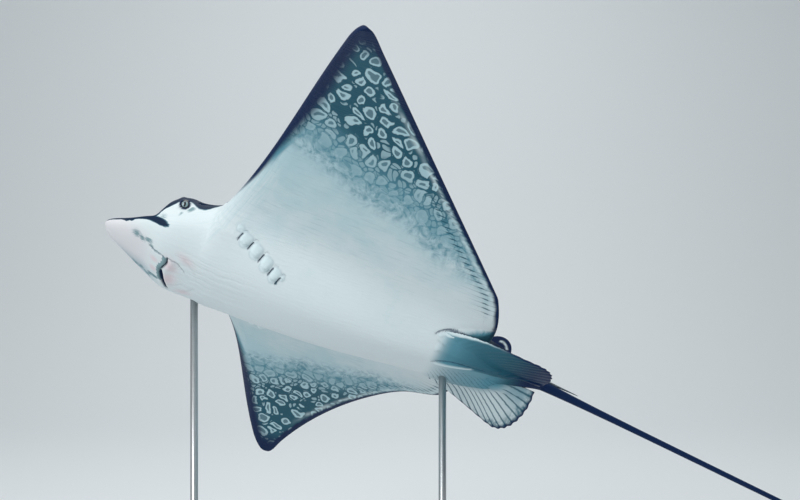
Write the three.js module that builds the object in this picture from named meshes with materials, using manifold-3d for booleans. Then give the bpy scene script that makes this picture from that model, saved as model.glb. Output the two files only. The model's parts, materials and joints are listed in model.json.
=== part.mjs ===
// Spotted eagle ray, Aetobatus narinari: a life-size model of an adult female that glides past,
// banked over with its left wing up and its head raised, held by a flat base and two rods.
//
// Millimetres, +Z up. The origin is the middle of the base's underside, on the floor.
// The ray is modelled in a frame of its own, which its group turns and lifts:
// x runs aft from the tip of the snout, y to the ray's right, z up through its back.
// Its sizes are fractions of the disc width, the span of the wings laid flat.
import * as THREE from "three";
import { mergeVertices } from "three/addons/utils/BufferGeometryUtils.js";
import Module from "manifold-3d";

const wasm = await Module();
wasm.setup();
const deg = THREE.MathUtils.degToRad;

// ---------------------------------------------------------------- driving dimensions
const DISC_WIDTH = 1600;
const HALF_SPAN = 0.5;
const GAP = 0.3; // clearance between neighbouring solids

// How the whole animal lies in the room.
const POSE = {
  yaw: deg(1.2),
  pitch: deg(22.8), // head up, tail down
  bank: deg(-40.5), // left wing up, right wing down
  snout: [-430, -20, 1084], // where the tip of the snout is
};

// Half outline of the head, from the tip of the snout to the origin of the wing.
const HEAD_OUTLINE = [
  [0, 0], [0, 0.0105], [0.012, 0.0163], [0.03, 0.0287],
  [0.044, 0.0385], [0.056, 0.0495], [0.073, 0.0588],
  [0.098, 0.0725], [0.13, 0.0685], [0.138, 0.087],
];
// Front edge of a wing, from its origin beside the head to the tip.
const LEADING_EDGE = [
  [0.138, 0.087], [0.188, 0.195], [0.204, 0.335], [0.2625, 0.468],
  [0.272, 0.488], [0.281, 0.5], [0.29, 0.5],
];
// Rear edge of a wing, from the root of the tail round the rear corner to the tip.
const TRAILING_EDGE = [
  [0.562, 0.021], [0.535, 0.025], [0.515, 0.03], [0.511, 0.048],
  [0.514, 0.068], [0.507, 0.092], [0.493, 0.125],
  [0.405, 0.238], [0.34, 0.352], [0.305, 0.465],
  [0.3, 0.484], [0.2985, 0.5], [0.29, 0.5],
];
// Half outline of the root of the tail, which closes inside the tail itself.
const TAIL_ROOT_OUTLINE = [
  [0.562, 0.021], [0.572, 0.0165], [0.585, 0.0095], [0.603, 0.0065],
  [0.613, 0.005], [0.62, 0.003], [0.62, 0],
];

// Heights of back and belly along the middle of the body: [distance aft, height].
const CROWN = [
  [0, -0.027], [0.004, -0.022], [0.025, -0.02], [0.05, -0.0205], [0.0665, -0.0195],
  [0.0695, 0.006], [0.0745, 0.029], [0.083, 0.0355], [0.11, 0.041], [0.2, 0.056], [0.3, 0.056],
  [0.4, 0.04], [0.5, 0.0235], [0.562, 0.015], [0.597, 0.0122], [0.62, 0.0105],
];
const KEEL = [
  [0, -0.027], [0.004, -0.0325], [0.02, -0.0378], [0.06, -0.0472], [0.09, -0.0565], [0.14, -0.0575],
  [0.24, -0.058], [0.32, -0.054], [0.4, -0.044], [0.5, -0.0255], [0.562, -0.0105],
  [0.597, -0.0032], [0.62, -0.0005],
];
// Ridge of the brow over each eye, steep in front and drawn out behind.
const BROW = { x: 0.079, y: 0.049, rise: 0.0135, front: 0.0055, length: 0.02, width: 0.018 };
// Height of the side of the body, where back and belly meet.
const WAIST = [
  [0, -0.027], [0.055, -0.029], [0.095, -0.028], [0.15, -0.005], [0.2, 0], [0.5, 0],
  [0.562, 0.0025], [0.597, 0.0046], [0.62, 0.005],
];
// Distance from the middle at which the hump of the body has sunk half-way to the wing.
const HUMP_WIDTH = [
  [0, 0.16], [0.1, 0.13], [0.16, 0.08], [0.22, 0.066], [0.3, 0.058], [0.42, 0.045], [0.62, 0.04],
];
const HUMP_SHARPNESS = 3;
const HEAD_SQUARENESS = 2.5; // 2 would make the head's section an ellipse

// A wing's half thickness at root and tip, the share of it that is left at the rear edge, the
// share of the chord where it starts to thin, and the shares that round off its edges.
const WING = {
  root: 0.0155,
  tip: 0.0026,
  spanPower: 0.8,
  rearShare: 0.14,
  fullAt: 0.22,
  nose: 0.1,
  tail: 0.03,
  end: 0.01,
};
const WING_ROOT = 0.068;
// Each wing's slope against the body from root to tip, as a + b s + c s^2, and its sweep.
// A cupped wing draws its chord in about its middle, and a spread one lets it out.
const RIGHT_WING = {
  slope: [deg(14.8), deg(-28), deg(-4.1)],
  sweep: -0.003,
  spread: 0.2,
  sag: 0.015,
};
const LEFT_WING = {
  slope: [deg(5.2), deg(-30.6), deg(-7)],
  sweep: -0.029,
  spread: -0.3,
  sag: 0,
};
const MID_CHORD = 0.285;
// Where the inner rear corner of a wing may sag: how far out and aft, and over what reach.
const SAG = { y: 0.13, reach: 0.05, from: 0.38, to: 0.52 };

// Fins: rays run from a root curve to a margin curve. Half thickness at root and margin.
const PELVIC = {
  root: [[0.445, 0.03], [0.478, 0.022], [0.512, 0.012], [0.545, 0.005]],
  margin: [
    [0.452, 0.052], [0.48, 0.064], [0.528, 0.074], [0.566, 0.083],
    [0.595, 0.09], [0.606, 0.045], [0.597, 0.007],
  ],
  height: [-0.014, -0.003], // at its front and at its rear
  droop: 0.35, // at the rear; the front of the fin lies flat
  twistFrom: 0.46,
  twistTo: 0.58,
  halfThickness: [0.0048, 0.0011],
};
const DORSAL = {
  root: [[0.5, 0.005], [0.51, 0.005], [0.525, 0.005], [0.54, 0.005]],
  margin: [[0.518, 0.042], [0.53, 0.06], [0.56, 0.059], [0.55, 0.02]],
  halfThickness: [0.0026, 0.0009],
};
const FIN_EDGE = { sides: 0.12, ends: 0.04 };

// The tail leaves the body straight, then lifts until it runs about level.
const TAIL = {
  start: 0.59,
  height: 0.005,
  length: 1.38,
  straight: 0.4,
  liftLength: 0.42,
  lift: deg(30), // climb and turn in the room, over the liftLength
  turn: deg(38),
  drop: deg(3.2),
  sideways: deg(1.2),
  thin: [0.004, 0.0011], // radius at root and tip without the swelling
  swelling: 0.0036,
  swellingLength: 0.06,
};
const STING = { width: 0.0028, thickness: 0.0017, sink: 0.0004, taperPower: 0.6, point: 0.04 };
const STINGS = {
  tail_sting_long: { from: 0.594, length: 0.059, side: -0.0017, lift: deg(0.8) },
  tail_sting_short: { from: 0.6, length: 0.04, side: 0.0043, lift: deg(1.6) },
};

const EYE = { x: 0.0905, y: 0.0565, z: 0.005, radius: 0.0085 };
const SPIRACLE = { x: 0.113, y: 0.0615, z: 0.021, radii: [0.0125, 0.006, 0.007] };
const MOUTH = { x: 0.091, corner: 0.034, setBack: 0.008, width: 0.0022, depth: 0.005 };
const GILLS = {
  count: 5,
  first: [0.1765, 0.084],
  last: [0.2385, 0.0512],
  length: 0.0135,
  width: 0.0014,
  depth: 0.004,
  slant: deg(28),
  tilt: deg(30),
};

const BASE = { length: 860, width: 460, thickness: 20, corner: 60, bevel: 3 };
const ROD = { radius: 8, collarRadius: 26, collarHeight: 9, edge: 2, reach: 40 };
// Where each rod meets the belly: aft of the snout, and to the right of the middle.
const RODS = { stand_rod_front: [0.14, 0.064], stand_rod_rear: [0.478, 0.024] };

// Where the body is parted, as distances aft of the snout, and beside the trunk.
const CUTS = { lobe: 0.066, head: 0.152, wing: 0.098, tail: [0.597, 0.79, 1.02, 1.32, 1.66] };

// How finely the surfaces are faceted.
const GRID = { strip: 14, head: 18, chord: 16, span: 15, tailRoot: 5 };
const FIN_GRID = { across: 10, along: 6 };
const TAIL_GRID = { sides: 8, steps: 32 };
const STING_GRID = { sides: 6, steps: 6 };
const EYE_GRID = { around: 12, down: 8 };
const ROD_SIDES = 16;

// ---------------------------------------------------------------- pose
const rayGroup = new THREE.Group();
rayGroup.rotation.set(POSE.bank, POSE.pitch, POSE.yaw, "ZYX");
rayGroup.position.set(...POSE.snout);
rayGroup.updateMatrixWorld(true);
const toRoom = rayGroup.matrixWorld;
const toRay = toRoom.clone().invert();

// ---------------------------------------------------------------- small tools
const clamp01 = (v) => Math.min(Math.max(v, 0), 1);
const mix = (a, b, t) => a + (b - a) * t;

// 0 up to one place and 1 from another, with a smooth rise between.
function ramp(v, from, to) {
  const t = clamp01((v - from) / (to - from));
  return t * t * (3 - 2 * t);
}

// A smooth curve through [place, value] pairs, cubic between each two.
function profile(pairs) {
  const slope = (i) => {
    const [x0, v0] = pairs[Math.max(i - 1, 0)];
    const [x1, v1] = pairs[Math.min(i + 1, pairs.length - 1)];
    return (v1 - v0) / (x1 - x0);
  };
  return (x) => {
    let i = 0;
    while (i < pairs.length - 2 && x > pairs[i + 1][0]) i++;
    const [x0, v0] = pairs[i];
    const [x1, v1] = pairs[i + 1];
    const t = clamp01((x - x0) / (x1 - x0));
    const bend0 = slope(i) * (x1 - x0) - (v1 - v0);
    const bend1 = v1 - v0 - slope(i + 1) * (x1 - x0);
    return mix(v0, v1, t) + t * (1 - t) * (bend0 * (1 - t) + bend1 * t);
  };
}

// Cubic Bezier curves end to end, through the first, fourth, seventh ... point.
function chain(points) {
  const curves = [];
  for (let i = 0; i + 3 < points.length; i += 3) {
    const corners = points.slice(i, i + 4).map(([x, y]) => new THREE.Vector2(x, y));
    curves.push(new THREE.CubicBezierCurve(...corners));
  }
  return (t) => {
    const i = Math.min(Math.floor(t * curves.length), curves.length - 1);
    return curves[i].getPoint(t * curves.length - i);
  };
}

// The point of an outward-running edge at distance y from the middle, found by halving.
const HALVINGS = 40;
function crossing(edge, y) {
  let low = 0;
  let high = 1;
  for (let i = 0; i < HALVINGS; i++) {
    const middle = (low + high) / 2;
    if (edge(middle).y < y) low = middle;
    else high = middle;
  }
  return edge((low + high) / 2);
}

// A quarter ellipse: 0 at an edge, 1 from the given share inwards.
const roundEdge = (share, over) => Math.sqrt(1 - (1 - clamp01(share / over)) ** 2);

// A closed geometry as a solid that can be joined and cut.
const WELD = 1e-3;
function solid(geometry) {
  const bare = new THREE.BufferGeometry();
  bare.setAttribute("position", geometry.getAttribute("position"));
  if (geometry.index) bare.setIndex(geometry.index);
  const merged = mergeVertices(bare, WELD);
  const index = merged.index.array;
  const triVerts = [];
  for (let i = 0; i < index.length; i += 3) {
    const [a, b, c] = index.slice(i, i + 3);
    if (a !== b && b !== c && c !== a) triVerts.push(a, b, c); // a pole squeezes faces flat
  }
  return new wasm.Manifold(
    new wasm.Mesh({
      numProp: 3,
      vertProperties: new Float32Array(merged.attributes.position.array),
      triVerts: new Uint32Array(triVerts),
    }),
  );
}

function geometryOf(piece) {
  const { vertProperties, triVerts } = piece.getMesh();
  const geometry = new THREE.BufferGeometry();
  geometry.setAttribute("position", new THREE.BufferAttribute(vertProperties, 3));
  geometry.setIndex(new THREE.BufferAttribute(triVerts, 1));
  return geometry;
}

// The same closed shape with its skin moved outwards by the clearance.
function grown(piece) {
  const geometry = geometryOf(piece);
  geometry.computeVertexNormals();
  const { position, normal } = geometry.attributes;
  for (let i = 0; i < position.array.length; i++) {
    position.array[i] += GAP * normal.array[i];
  }
  return solid(geometry);
}

// A sheet of columns and rows, each vertex placed by at(column share, row share).
function sheet(columns, rows, at, turned) {
  const geometry = new THREE.PlaneGeometry(1, 1, columns, rows);
  const { position } = geometry.attributes;
  for (let i = 0; i < position.count; i++) {
    position.setXYZ(i, ...at(position.getX(i) + 0.5, position.getY(i) + 0.5));
  }
  const index = geometry.index.array;
  for (let i = 0; turned && i < index.length; i += 3) {
    [index[i + 1], index[i + 2]] = [index[i + 2], index[i + 1]];
  }
  return geometry.toNonIndexed();
}

// Sheets that meet all round become one solid.
function sew(sheets) {
  const corners = sheets.flatMap((part) => [...part.attributes.position.array]);
  const all = new THREE.BufferGeometry();
  all.setAttribute("position", new THREE.Float32BufferAttribute(corners, 3));
  return solid(all);
}

// A closed tube: ring(t) gives its centre and its two half axes as vectors.
function tube(sides, steps, ring) {
  const geometry = new THREE.CylinderGeometry(1, 1, 1, sides, steps);
  const { position } = geometry.attributes;
  for (let i = 0; i < position.count; i++) {
    const { centre, right, up } = ring(0.5 - position.getY(i));
    const point = centre.clone();
    point.addScaledVector(right, position.getX(i));
    point.addScaledVector(up, position.getZ(i));
    position.setXYZ(i, point.x, point.y, point.z);
  }
  return geometry;
}

// ---------------------------------------------------------------- the ray's surface
const crown = profile(CROWN);
const keel = profile(KEEL);
const waist = profile(WAIST);
const humpWidth = profile(HUMP_WIDTH);
const headEdge = chain(HEAD_OUTLINE);
const frontEdge = chain(LEADING_EDGE);
const rearEdge = chain(TRAILING_EDGE);
const tailRootEdge = chain(TAIL_ROOT_OUTLINE);
const WING_ORIGIN = LEADING_EDGE[0];
const TAIL_CORNER = TRAILING_EDGE[0];

const shareOfWing = (y) => clamp01((y - WING_ROOT) / (HALF_SPAN - WING_ROOT));

// Bends a flat wing: its slope is summed outwards from the middle line in short steps.
const BEND_STEPS = 60;
function bender({ slope: [a, b, c], sweep, spread, sag }) {
  const slopeAt = (y) => {
    const s = shareOfWing(y);
    return (a + b * s + c * s * s) * ramp(y, 0, WING_ROOT);
  };
  return (x, y, z) => {
    const step = y / BEND_STEPS;
    let out = -z * Math.sin(slopeAt(y));
    let up = z * Math.cos(slopeAt(y));
    for (let i = 0; i < BEND_STEPS; i++) {
      out += Math.cos(slopeAt((i + 0.5) * step)) * step;
      up += Math.sin(slopeAt((i + 0.5) * step)) * step;
    }
    up -= sag * ramp(x, SAG.from, SAG.to) * Math.exp(-(((y - SAG.y) / SAG.reach) ** 2));
    const outer = shareOfWing(y) ** 2;
    return [x + (sweep + spread * (x - MID_CHORD)) * outer, out, up];
  };
}
const bendRight = bender(RIGHT_WING);
const bendLeft = bender(LEFT_WING);

// Where the flat ray's point x, y at height z lies, in millimetres.
function place(x, y, z) {
  const [aft, out, up] = y < 0 ? bendLeft(x, -y, z) : bendRight(x, y, z);
  return [aft * DISC_WIDTH, (y < 0 ? -out : out) * DISC_WIDTH, up * DISC_WIDTH];
}

// Height of the back (side 1) or belly (side -1) over flat point x, y. rounding runs from 0 on
// the outline to 1 well inside it; chord is the share of the way from front to rear edge.
function height(x, y, side, rounding, chord) {
  const thinning = clamp01((chord - WING.fullAt) / (1 - WING.fullAt));
  const span = Math.pow(shareOfWing(Math.abs(y)), WING.spanPower);
  const wing = mix(WING.root, WING.tip, span) * mix(1, WING.rearShare, thinning);
  const body = side > 0 ? crown(x) - waist(x) : waist(x) - keel(x);
  const hump = Math.pow(0.5, Math.pow(Math.abs(y) / humpWidth(x), HUMP_SHARPNESS));
  const browLength = x < BROW.x ? BROW.front : BROW.length;
  const fromBrow = Math.hypot((x - BROW.x) / browLength, (Math.abs(y) - BROW.y) / BROW.width);
  const brow = side > 0 ? BROW.rise * Math.exp(-fromBrow * fromBrow) : 0;
  return waist(x) + side * rounding * (mix(wing, body, hump) + brow);
}

const roundHead = (s) => Math.pow(1 - Math.abs(s) ** HEAD_SQUARENESS, 1 / HEAD_SQUARENESS);

// Back and belly of head, trunk, wings and tail root, as one closed skin.
function bodySkin() {
  const sheets = [];
  const bunched = (v) => (1 - Math.cos(v * Math.PI)) / 2;
  const backAndBelly = (rows, at) => {
    for (const side of [1, -1]) {
      const stripAt = (u, v) => at(Math.sin((u - 0.5) * Math.PI), v, side);
      sheets.push(sheet(GRID.strip, rows, stripAt, side > 0));
    }
  };
  // The head, from the snout aft.
  backAndBelly(GRID.head, (s, v, side) => {
    const { x, y } = headEdge(v);
    return place(x, s * y, height(x, s * y, side, roundHead(s), 0));
  });
  // The trunk, between the wings.
  backAndBelly(GRID.chord, (s, v, side) => {
    const c = bunched(v);
    const x = mix(WING_ORIGIN[0], TAIL_CORNER[0], c);
    const y = s * mix(WING_ORIGIN[1], TAIL_CORNER[1], c);
    const drawnIn = 1 - roundHead(s);
    const front = 1 - drawnIn * (1 - roundEdge(c, WING.nose));
    const rear = 1 - drawnIn * (1 - roundEdge(1 - c, WING.tail));
    return place(x, y, height(x, y, side, front * rear, c));
  });
  // The root of the tail.
  backAndBelly(GRID.tailRoot, (s, v, side) => {
    const { x, y } = tailRootEdge(v);
    const closing = Math.sqrt(1 - clamp01(2 * v - 1) ** 2);
    return place(x, s * y, height(x, s * y, side, roundHead(s) * closing, 1));
  });
  // The wings.
  for (const hand of [1, -1]) {
    for (const side of [1, -1]) {
      const at = (u, v) => {
        const out = Math.sin((u * Math.PI) / 2);
        const a = crossing(frontEdge, mix(WING_ORIGIN[1], HALF_SPAN, out));
        const b = crossing(rearEdge, mix(TAIL_CORNER[1], HALF_SPAN, out));
        const c = bunched(v);
        const x = mix(a.x, b.x, c);
        const y = hand * mix(a.y, b.y, c);
        const edges = roundEdge(c, WING.nose) * roundEdge(1 - c, WING.tail);
        const rounding = edges * roundEdge(1 - out, WING.end);
        return place(x, y, height(x, y, side, rounding, c));
      };
      sheets.push(sheet(GRID.span, GRID.chord, at, hand * side > 0));
    }
  }
  return sew(sheets);
}

// A fin whose rays run from root to margin, thinning outwards and rounded at its edges.
// at(p, q, depth) stands the point p, q of its outline up at the given depth.
function fin({ root, margin, halfThickness }, at, turned) {
  const rootAt = chain(root);
  const marginAt = chain(margin);
  const halves = [1, -1].map((side) => {
    const vertex = (u, v) => {
      const along = Math.sin((v * Math.PI) / 2);
      const a = rootAt(u);
      const b = marginAt(u);
      const sides = roundEdge(u, FIN_EDGE.sides) * roundEdge(1 - u, FIN_EDGE.sides);
      const ends = roundEdge(along, FIN_EDGE.ends) * roundEdge(1 - along, FIN_EDGE.ends);
      const depth = side * mix(...halfThickness, along) * sides * ends;
      const point = at(mix(a.x, b.x, along), mix(a.y, b.y, along), depth);
      return point.map((value) => value * DISC_WIDTH);
    };
    return sheet(FIN_GRID.across, FIN_GRID.along, vertex, side > 0 === turned);
  });
  return sew(halves);
}

function pelvicFin(hand) {
  const at = (x, y, depth) => {
    const twist = ramp(x, PELVIC.twistFrom, PELVIC.twistTo);
    return [x, hand * y, mix(...PELVIC.height, twist) - PELVIC.droop * twist * y + depth];
  };
  return fin(PELVIC, at, hand < 0);
}

function dorsalFin() {
  return fin(DORSAL, (x, z, depth) => [x, depth, z], true);
}

// ---------------------------------------------------------------- tail and stings
// Points down the middle of the tail. Its heading in the room climbs and turns as it goes.
function tailLine() {
  const start = new THREE.Vector3(1, Math.tan(TAIL.sideways), -Math.tan(TAIL.drop));
  start.transformDirection(toRoom);
  const heading = Math.atan2(start.y, start.x);
  const climb = Math.asin(start.z);
  const step = TAIL.length / TAIL_GRID.steps;
  const points = [new THREE.Vector3(TAIL.start, 0, TAIL.height)];
  for (let i = 0; i < TAIL_GRID.steps; i++) {
    const eased = ramp((i + 0.5) * step, TAIL.straight, TAIL.straight + TAIL.liftLength);
    const level = climb + TAIL.lift * eased;
    const turned = heading + TAIL.turn * eased;
    const direction = new THREE.Vector3(Math.cos(turned), Math.sin(turned), Math.tan(level));
    direction.transformDirection(toRay);
    points.push(points[i].clone().addScaledVector(direction, step));
  }
  return points.map((point) => point.multiplyScalar(DISC_WIDTH));
}

function tailRadius(t) {
  const swelling = TAIL.swelling * Math.exp((-t * TAIL.length) / TAIL.swellingLength);
  return (mix(...TAIL.thin, t) + swelling) * DISC_WIDTH;
}

function tail() {
  const line = tailLine();
  const ring = (t) => {
    const i = Math.round(t * TAIL_GRID.steps);
    const along = line[Math.min(i + 1, TAIL_GRID.steps)].clone().sub(line[Math.max(i - 1, 0)]);
    const right = new THREE.Vector3(0, 0, 1).cross(along).normalize();
    const up = along.cross(right).normalize();
    const radius = tailRadius(t);
    return { centre: line[i], right: right.multiplyScalar(radius), up: up.multiplyScalar(radius) };
  };
  return solid(tube(TAIL_GRID.sides, TAIL_GRID.steps, ring));
}

// A sting: a flat, tapering spine that lies along the back of the tail.
function sting({ from, length, side, lift }) {
  const along = from - TAIL.start;
  const radius = tailRadius(along / TAIL.length) / DISC_WIDTH;
  const top = TAIL.height - along * Math.tan(TAIL.drop) + radius - STING.sink;
  const rise = Math.tan(lift - TAIL.drop);
  const ring = (t) => {
    const taper = mix(STING.point, 1, Math.pow(1 - t, STING.taperPower));
    const centre = new THREE.Vector3(from + length * t, side, top + length * t * rise);
    return {
      centre: centre.multiplyScalar(DISC_WIDTH),
      right: new THREE.Vector3(0, STING.width * taper * DISC_WIDTH, 0),
      up: new THREE.Vector3(0, 0, STING.thickness * taper * DISC_WIDTH),
    };
  };
  return solid(tube(STING_GRID.sides, STING_GRID.steps, ring));
}

// ---------------------------------------------------------------- eyes, mouth and gills
function ball(x, y, z, radii) {
  const geometry = new THREE.SphereGeometry(1, EYE_GRID.around, EYE_GRID.down);
  geometry.scale(...radii.map((r) => r * DISC_WIDTH));
  geometry.translate(x * DISC_WIDTH, y * DISC_WIDTH, z * DISC_WIDTH);
  return geometry;
}

function eye(hand, clearance) {
  const radius = EYE.radius + clearance / DISC_WIDTH;
  return solid(ball(EYE.x, hand * EYE.y, EYE.z, [radius, radius, radius]));
}

const spiracle = (hand) => solid(ball(SPIRACLE.x, hand * SPIRACLE.y, SPIRACLE.z, SPIRACLE.radii));

// A shallow arched groove across the underside of the head.
function mouth() {
  const { x, corner, setBack, width, depth } = MOUTH;
  const lips = new THREE.Shape();
  lips.moveTo(x + setBack, -corner);
  lips.quadraticCurveTo(x - setBack, 0, x + setBack, corner);
  lips.lineTo(x + setBack + width, corner);
  lips.quadraticCurveTo(x - setBack + width, 0, x + setBack + width, -corner);
  const groove = new THREE.ExtrudeGeometry(lips, { depth: 1, bevelEnabled: false, curveSegments: 6 });
  groove.translate(0, 0, keel(x) + depth - 1);
  groove.scale(DISC_WIDTH, DISC_WIDTH, DISC_WIDTH);
  return solid(groove);
}

// One slit of the row that runs aft and inwards on each side of the throat.
function gillSlit(hand, i) {
  const t = i / (GILLS.count - 1);
  const x = mix(GILLS.first[0], GILLS.last[0], t);
  const y = hand * mix(GILLS.first[1], GILLS.last[1], t);
  const [px, py, pz] = place(x, y, height(x, y, -1, 1, 0));
  const slit = new THREE.BoxGeometry(GILLS.width, GILLS.length, 2 * GILLS.depth);
  slit.scale(DISC_WIDTH, DISC_WIDTH, DISC_WIDTH);
  slit.rotateZ(hand * GILLS.slant);
  slit.rotateX(hand * GILLS.tilt);
  slit.translate(px, py, pz);
  return solid(slit);
}

// ---------------------------------------------------------------- stand
function standBase() {
  const { length, width, thickness, corner, bevel } = BASE;
  const outline = new THREE.Shape();
  const [x, y] = [length / 2 - corner, width / 2 - corner];
  const r = corner - bevel;
  outline.absarc(x, y, r, 0, Math.PI / 2);
  outline.absarc(-x, y, r, Math.PI / 2, Math.PI);
  outline.absarc(-x, -y, r, Math.PI, 1.5 * Math.PI);
  outline.absarc(x, -y, r, 1.5 * Math.PI, 2 * Math.PI);
  const plate = new THREE.ExtrudeGeometry(outline, {
    depth: thickness - 2 * bevel,
    bevelThickness: bevel,
    bevelSize: bevel,
    bevelSegments: 1,
    curveSegments: 6,
  });
  plate.translate(0, 0, bevel);
  return solid(plate);
}

// A rod with a collar at its foot, made in the ray's frame so that the belly can shape its top.
function standRod([x, y], belly) {
  const foot = BASE.thickness + GAP;
  const top = new THREE.Vector3(...place(x, y, keel(x))).applyMatrix4(toRoom);
  const { radius, collarRadius, collarHeight, edge } = ROD;
  const outline = [
    [0, foot],
    [collarRadius, foot],
    [collarRadius, foot + collarHeight - edge],
    [collarRadius - edge, foot + collarHeight],
    [radius, foot + collarHeight],
    [radius, top.z + ROD.reach],
    [0, top.z + ROD.reach],
  ];
  const rod = new THREE.LatheGeometry(outline.map(([r, z]) => new THREE.Vector2(r, z)), ROD_SIDES);
  rod.rotateX(Math.PI / 2);
  rod.translate(top.x, top.y, 0);
  rod.applyMatrix4(toRay);
  return solid(rod).subtract(belly);
}

// ---------------------------------------------------------------- assembly
// The part of a solid between two distances aft, and between two distances to the right.
const FAR = 4;
function between(piece, from, to, left = -FAR, right = FAR) {
  const half = GAP / 2;
  const [x0, x1] = [from * DISC_WIDTH + half, to * DISC_WIDTH - half];
  const [y0, y1] = [left * DISC_WIDTH + half, right * DISC_WIDTH - half];
  const block = new THREE.BoxGeometry(x1 - x0, y1 - y0, FAR * DISC_WIDTH);
  block.translate((x0 + x1) / 2, (y0 + y1) / 2, 0);
  return piece.intersect(solid(block));
}

const FINISH = {
  skin: { color: 0xd5e6ea, roughness: 0.45 },
  darkSkin: { color: 0x1b2a38, roughness: 0.42 },
  eye: { color: 0x10161c, roughness: 0.08 },
  sting: { color: 0xcfc8b2, roughness: 0.5 },
  steel: { color: 0xb9bcbf, roughness: 0.35, metalness: 1 },
  base: { color: 0x33373b, roughness: 0.55 },
};

function node(name, piece, finish, parent) {
  const faceted = geometryOf(piece).toNonIndexed();
  faceted.computeVertexNormals();
  const mesh = new THREE.Mesh(faceted, new THREE.MeshStandardMaterial(FINISH[finish]));
  mesh.name = name;
  parent.add(mesh);
}

const model = new THREE.Group();
model.add(rayGroup);

let body = bodySkin();
const tailPiece = tail();
const whole = body.add(tailPiece);
const wholeGrown = grown(whole);
const pelvicFins = { right: pelvicFin(1), left: pelvicFin(-1) };

let carved = whole.subtract(mouth());
for (const hand of [1, -1]) {
  carved = carved.subtract(eye(hand, GAP)).subtract(spiracle(hand));
  for (let i = 0; i < GILLS.count; i++) carved = carved.subtract(gillSlit(hand, i));
}

node("snout_lobe", between(carved, -FAR, CUTS.lobe), "skin", rayGroup);
node("head", between(carved, CUTS.lobe, CUTS.head), "skin", rayGroup);
const disc = between(carved, CUTS.head, CUTS.tail[0]);
node("trunk", between(disc, -FAR, FAR, -CUTS.wing, CUTS.wing), "skin", rayGroup);
node("pectoral_fin_right", between(disc, -FAR, FAR, CUTS.wing, FAR), "skin", rayGroup);
node("pectoral_fin_left", between(disc, -FAR, FAR, -FAR, -CUTS.wing), "skin", rayGroup);
node("pelvic_fin_right", pelvicFins.right.subtract(wholeGrown), "skin", rayGroup);
node("pelvic_fin_left", pelvicFins.left.subtract(wholeGrown), "skin", rayGroup);
node("dorsal_fin", dorsalFin().subtract(wholeGrown), "darkSkin", rayGroup);
CUTS.tail.forEach((from, i) => {
  const to = CUTS.tail[i + 1] ?? FAR;
  node(`tail_${i + 1}`, between(carved, from, to), "darkSkin", rayGroup);
});
for (const [name, shape] of Object.entries(STINGS)) {
  node(name, sting(shape).subtract(wholeGrown), "sting", rayGroup);
}
node("eye_right", eye(1, 0), "eye", rayGroup);
node("eye_left", eye(-1, 0), "eye", rayGroup);
for (const [name, contact] of Object.entries(RODS)) {
  node(name, standRod(contact, wholeGrown), "steel", rayGroup);
}
node("stand_base", standBase(), "base", model);

export default model;
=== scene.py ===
"""Spotted eagle ray on a plain display stand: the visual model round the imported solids.

One skin stands for all the flesh. It follows the same form as the solids, from the same driving
sizes, and adds mouth, nostrils, gill slits, folds, fin rays and markings. Metres, +Z up, with the
origin in the middle of the underside of the stand's base.
"""

import json
import logging
import math
from dataclasses import dataclass
from enum import Enum
from functools import partial
from typing import Callable, Sequence

import bmesh
import bpy
import numpy as np
from mathutils import Euler, Matrix, Vector
from mathutils.kdtree import KDTree

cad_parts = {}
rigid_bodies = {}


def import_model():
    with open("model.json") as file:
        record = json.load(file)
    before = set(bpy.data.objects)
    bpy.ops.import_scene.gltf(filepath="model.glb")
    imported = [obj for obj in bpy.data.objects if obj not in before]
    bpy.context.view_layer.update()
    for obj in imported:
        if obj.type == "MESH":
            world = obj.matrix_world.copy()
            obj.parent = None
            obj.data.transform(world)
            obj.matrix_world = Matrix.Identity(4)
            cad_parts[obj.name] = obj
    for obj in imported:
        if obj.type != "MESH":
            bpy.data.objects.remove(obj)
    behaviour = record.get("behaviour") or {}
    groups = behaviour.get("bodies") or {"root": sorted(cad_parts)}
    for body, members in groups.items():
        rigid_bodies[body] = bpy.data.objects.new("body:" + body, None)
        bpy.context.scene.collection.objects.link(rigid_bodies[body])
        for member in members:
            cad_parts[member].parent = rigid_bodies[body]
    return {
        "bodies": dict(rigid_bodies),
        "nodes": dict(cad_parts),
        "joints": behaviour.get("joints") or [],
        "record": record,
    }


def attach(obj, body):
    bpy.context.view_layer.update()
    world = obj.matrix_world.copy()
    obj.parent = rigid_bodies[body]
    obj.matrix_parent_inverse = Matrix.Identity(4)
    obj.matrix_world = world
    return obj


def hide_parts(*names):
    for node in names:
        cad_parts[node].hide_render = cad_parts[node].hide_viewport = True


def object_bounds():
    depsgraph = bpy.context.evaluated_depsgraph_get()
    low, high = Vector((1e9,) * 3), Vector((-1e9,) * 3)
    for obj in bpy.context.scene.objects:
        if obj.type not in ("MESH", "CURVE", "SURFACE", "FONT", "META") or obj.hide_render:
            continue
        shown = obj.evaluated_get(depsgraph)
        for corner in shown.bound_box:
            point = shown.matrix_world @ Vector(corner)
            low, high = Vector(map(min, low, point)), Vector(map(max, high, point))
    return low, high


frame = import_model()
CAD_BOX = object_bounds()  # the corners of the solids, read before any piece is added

LOG = logging.getLogger("eagle_ray")
Pair = tuple[float, float]
Triple = tuple[float, float, float]
Array = np.ndarray
Socket = bpy.types.NodeSocket

# ------------------------------------------------------------------ driving dimensions
DISC_WIDTH = 1.6  # metres; every size of the ray below is a share of it
HALF_SPAN = 0.5  # from the middle line to a wing tip
ROOT_FRONT = (0.138, 0.087)  # where the head's outline meets a wing, aft and off the middle
ROOT_REAR = (0.562, 0.021)  # where a wing meets the start of the tail
FAR = 10.0  # a distance past every part of the ray
FULL_TURN = 2 * math.pi
MM = 0.001
WELD = 2e-6  # metres; points nearer than this are one
INSET = 1e-5  # metres that the skin keeps inside the box of the solids
CLOSE = 1e-6  # share of a sheet's breadth within which a point is on its border


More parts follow.
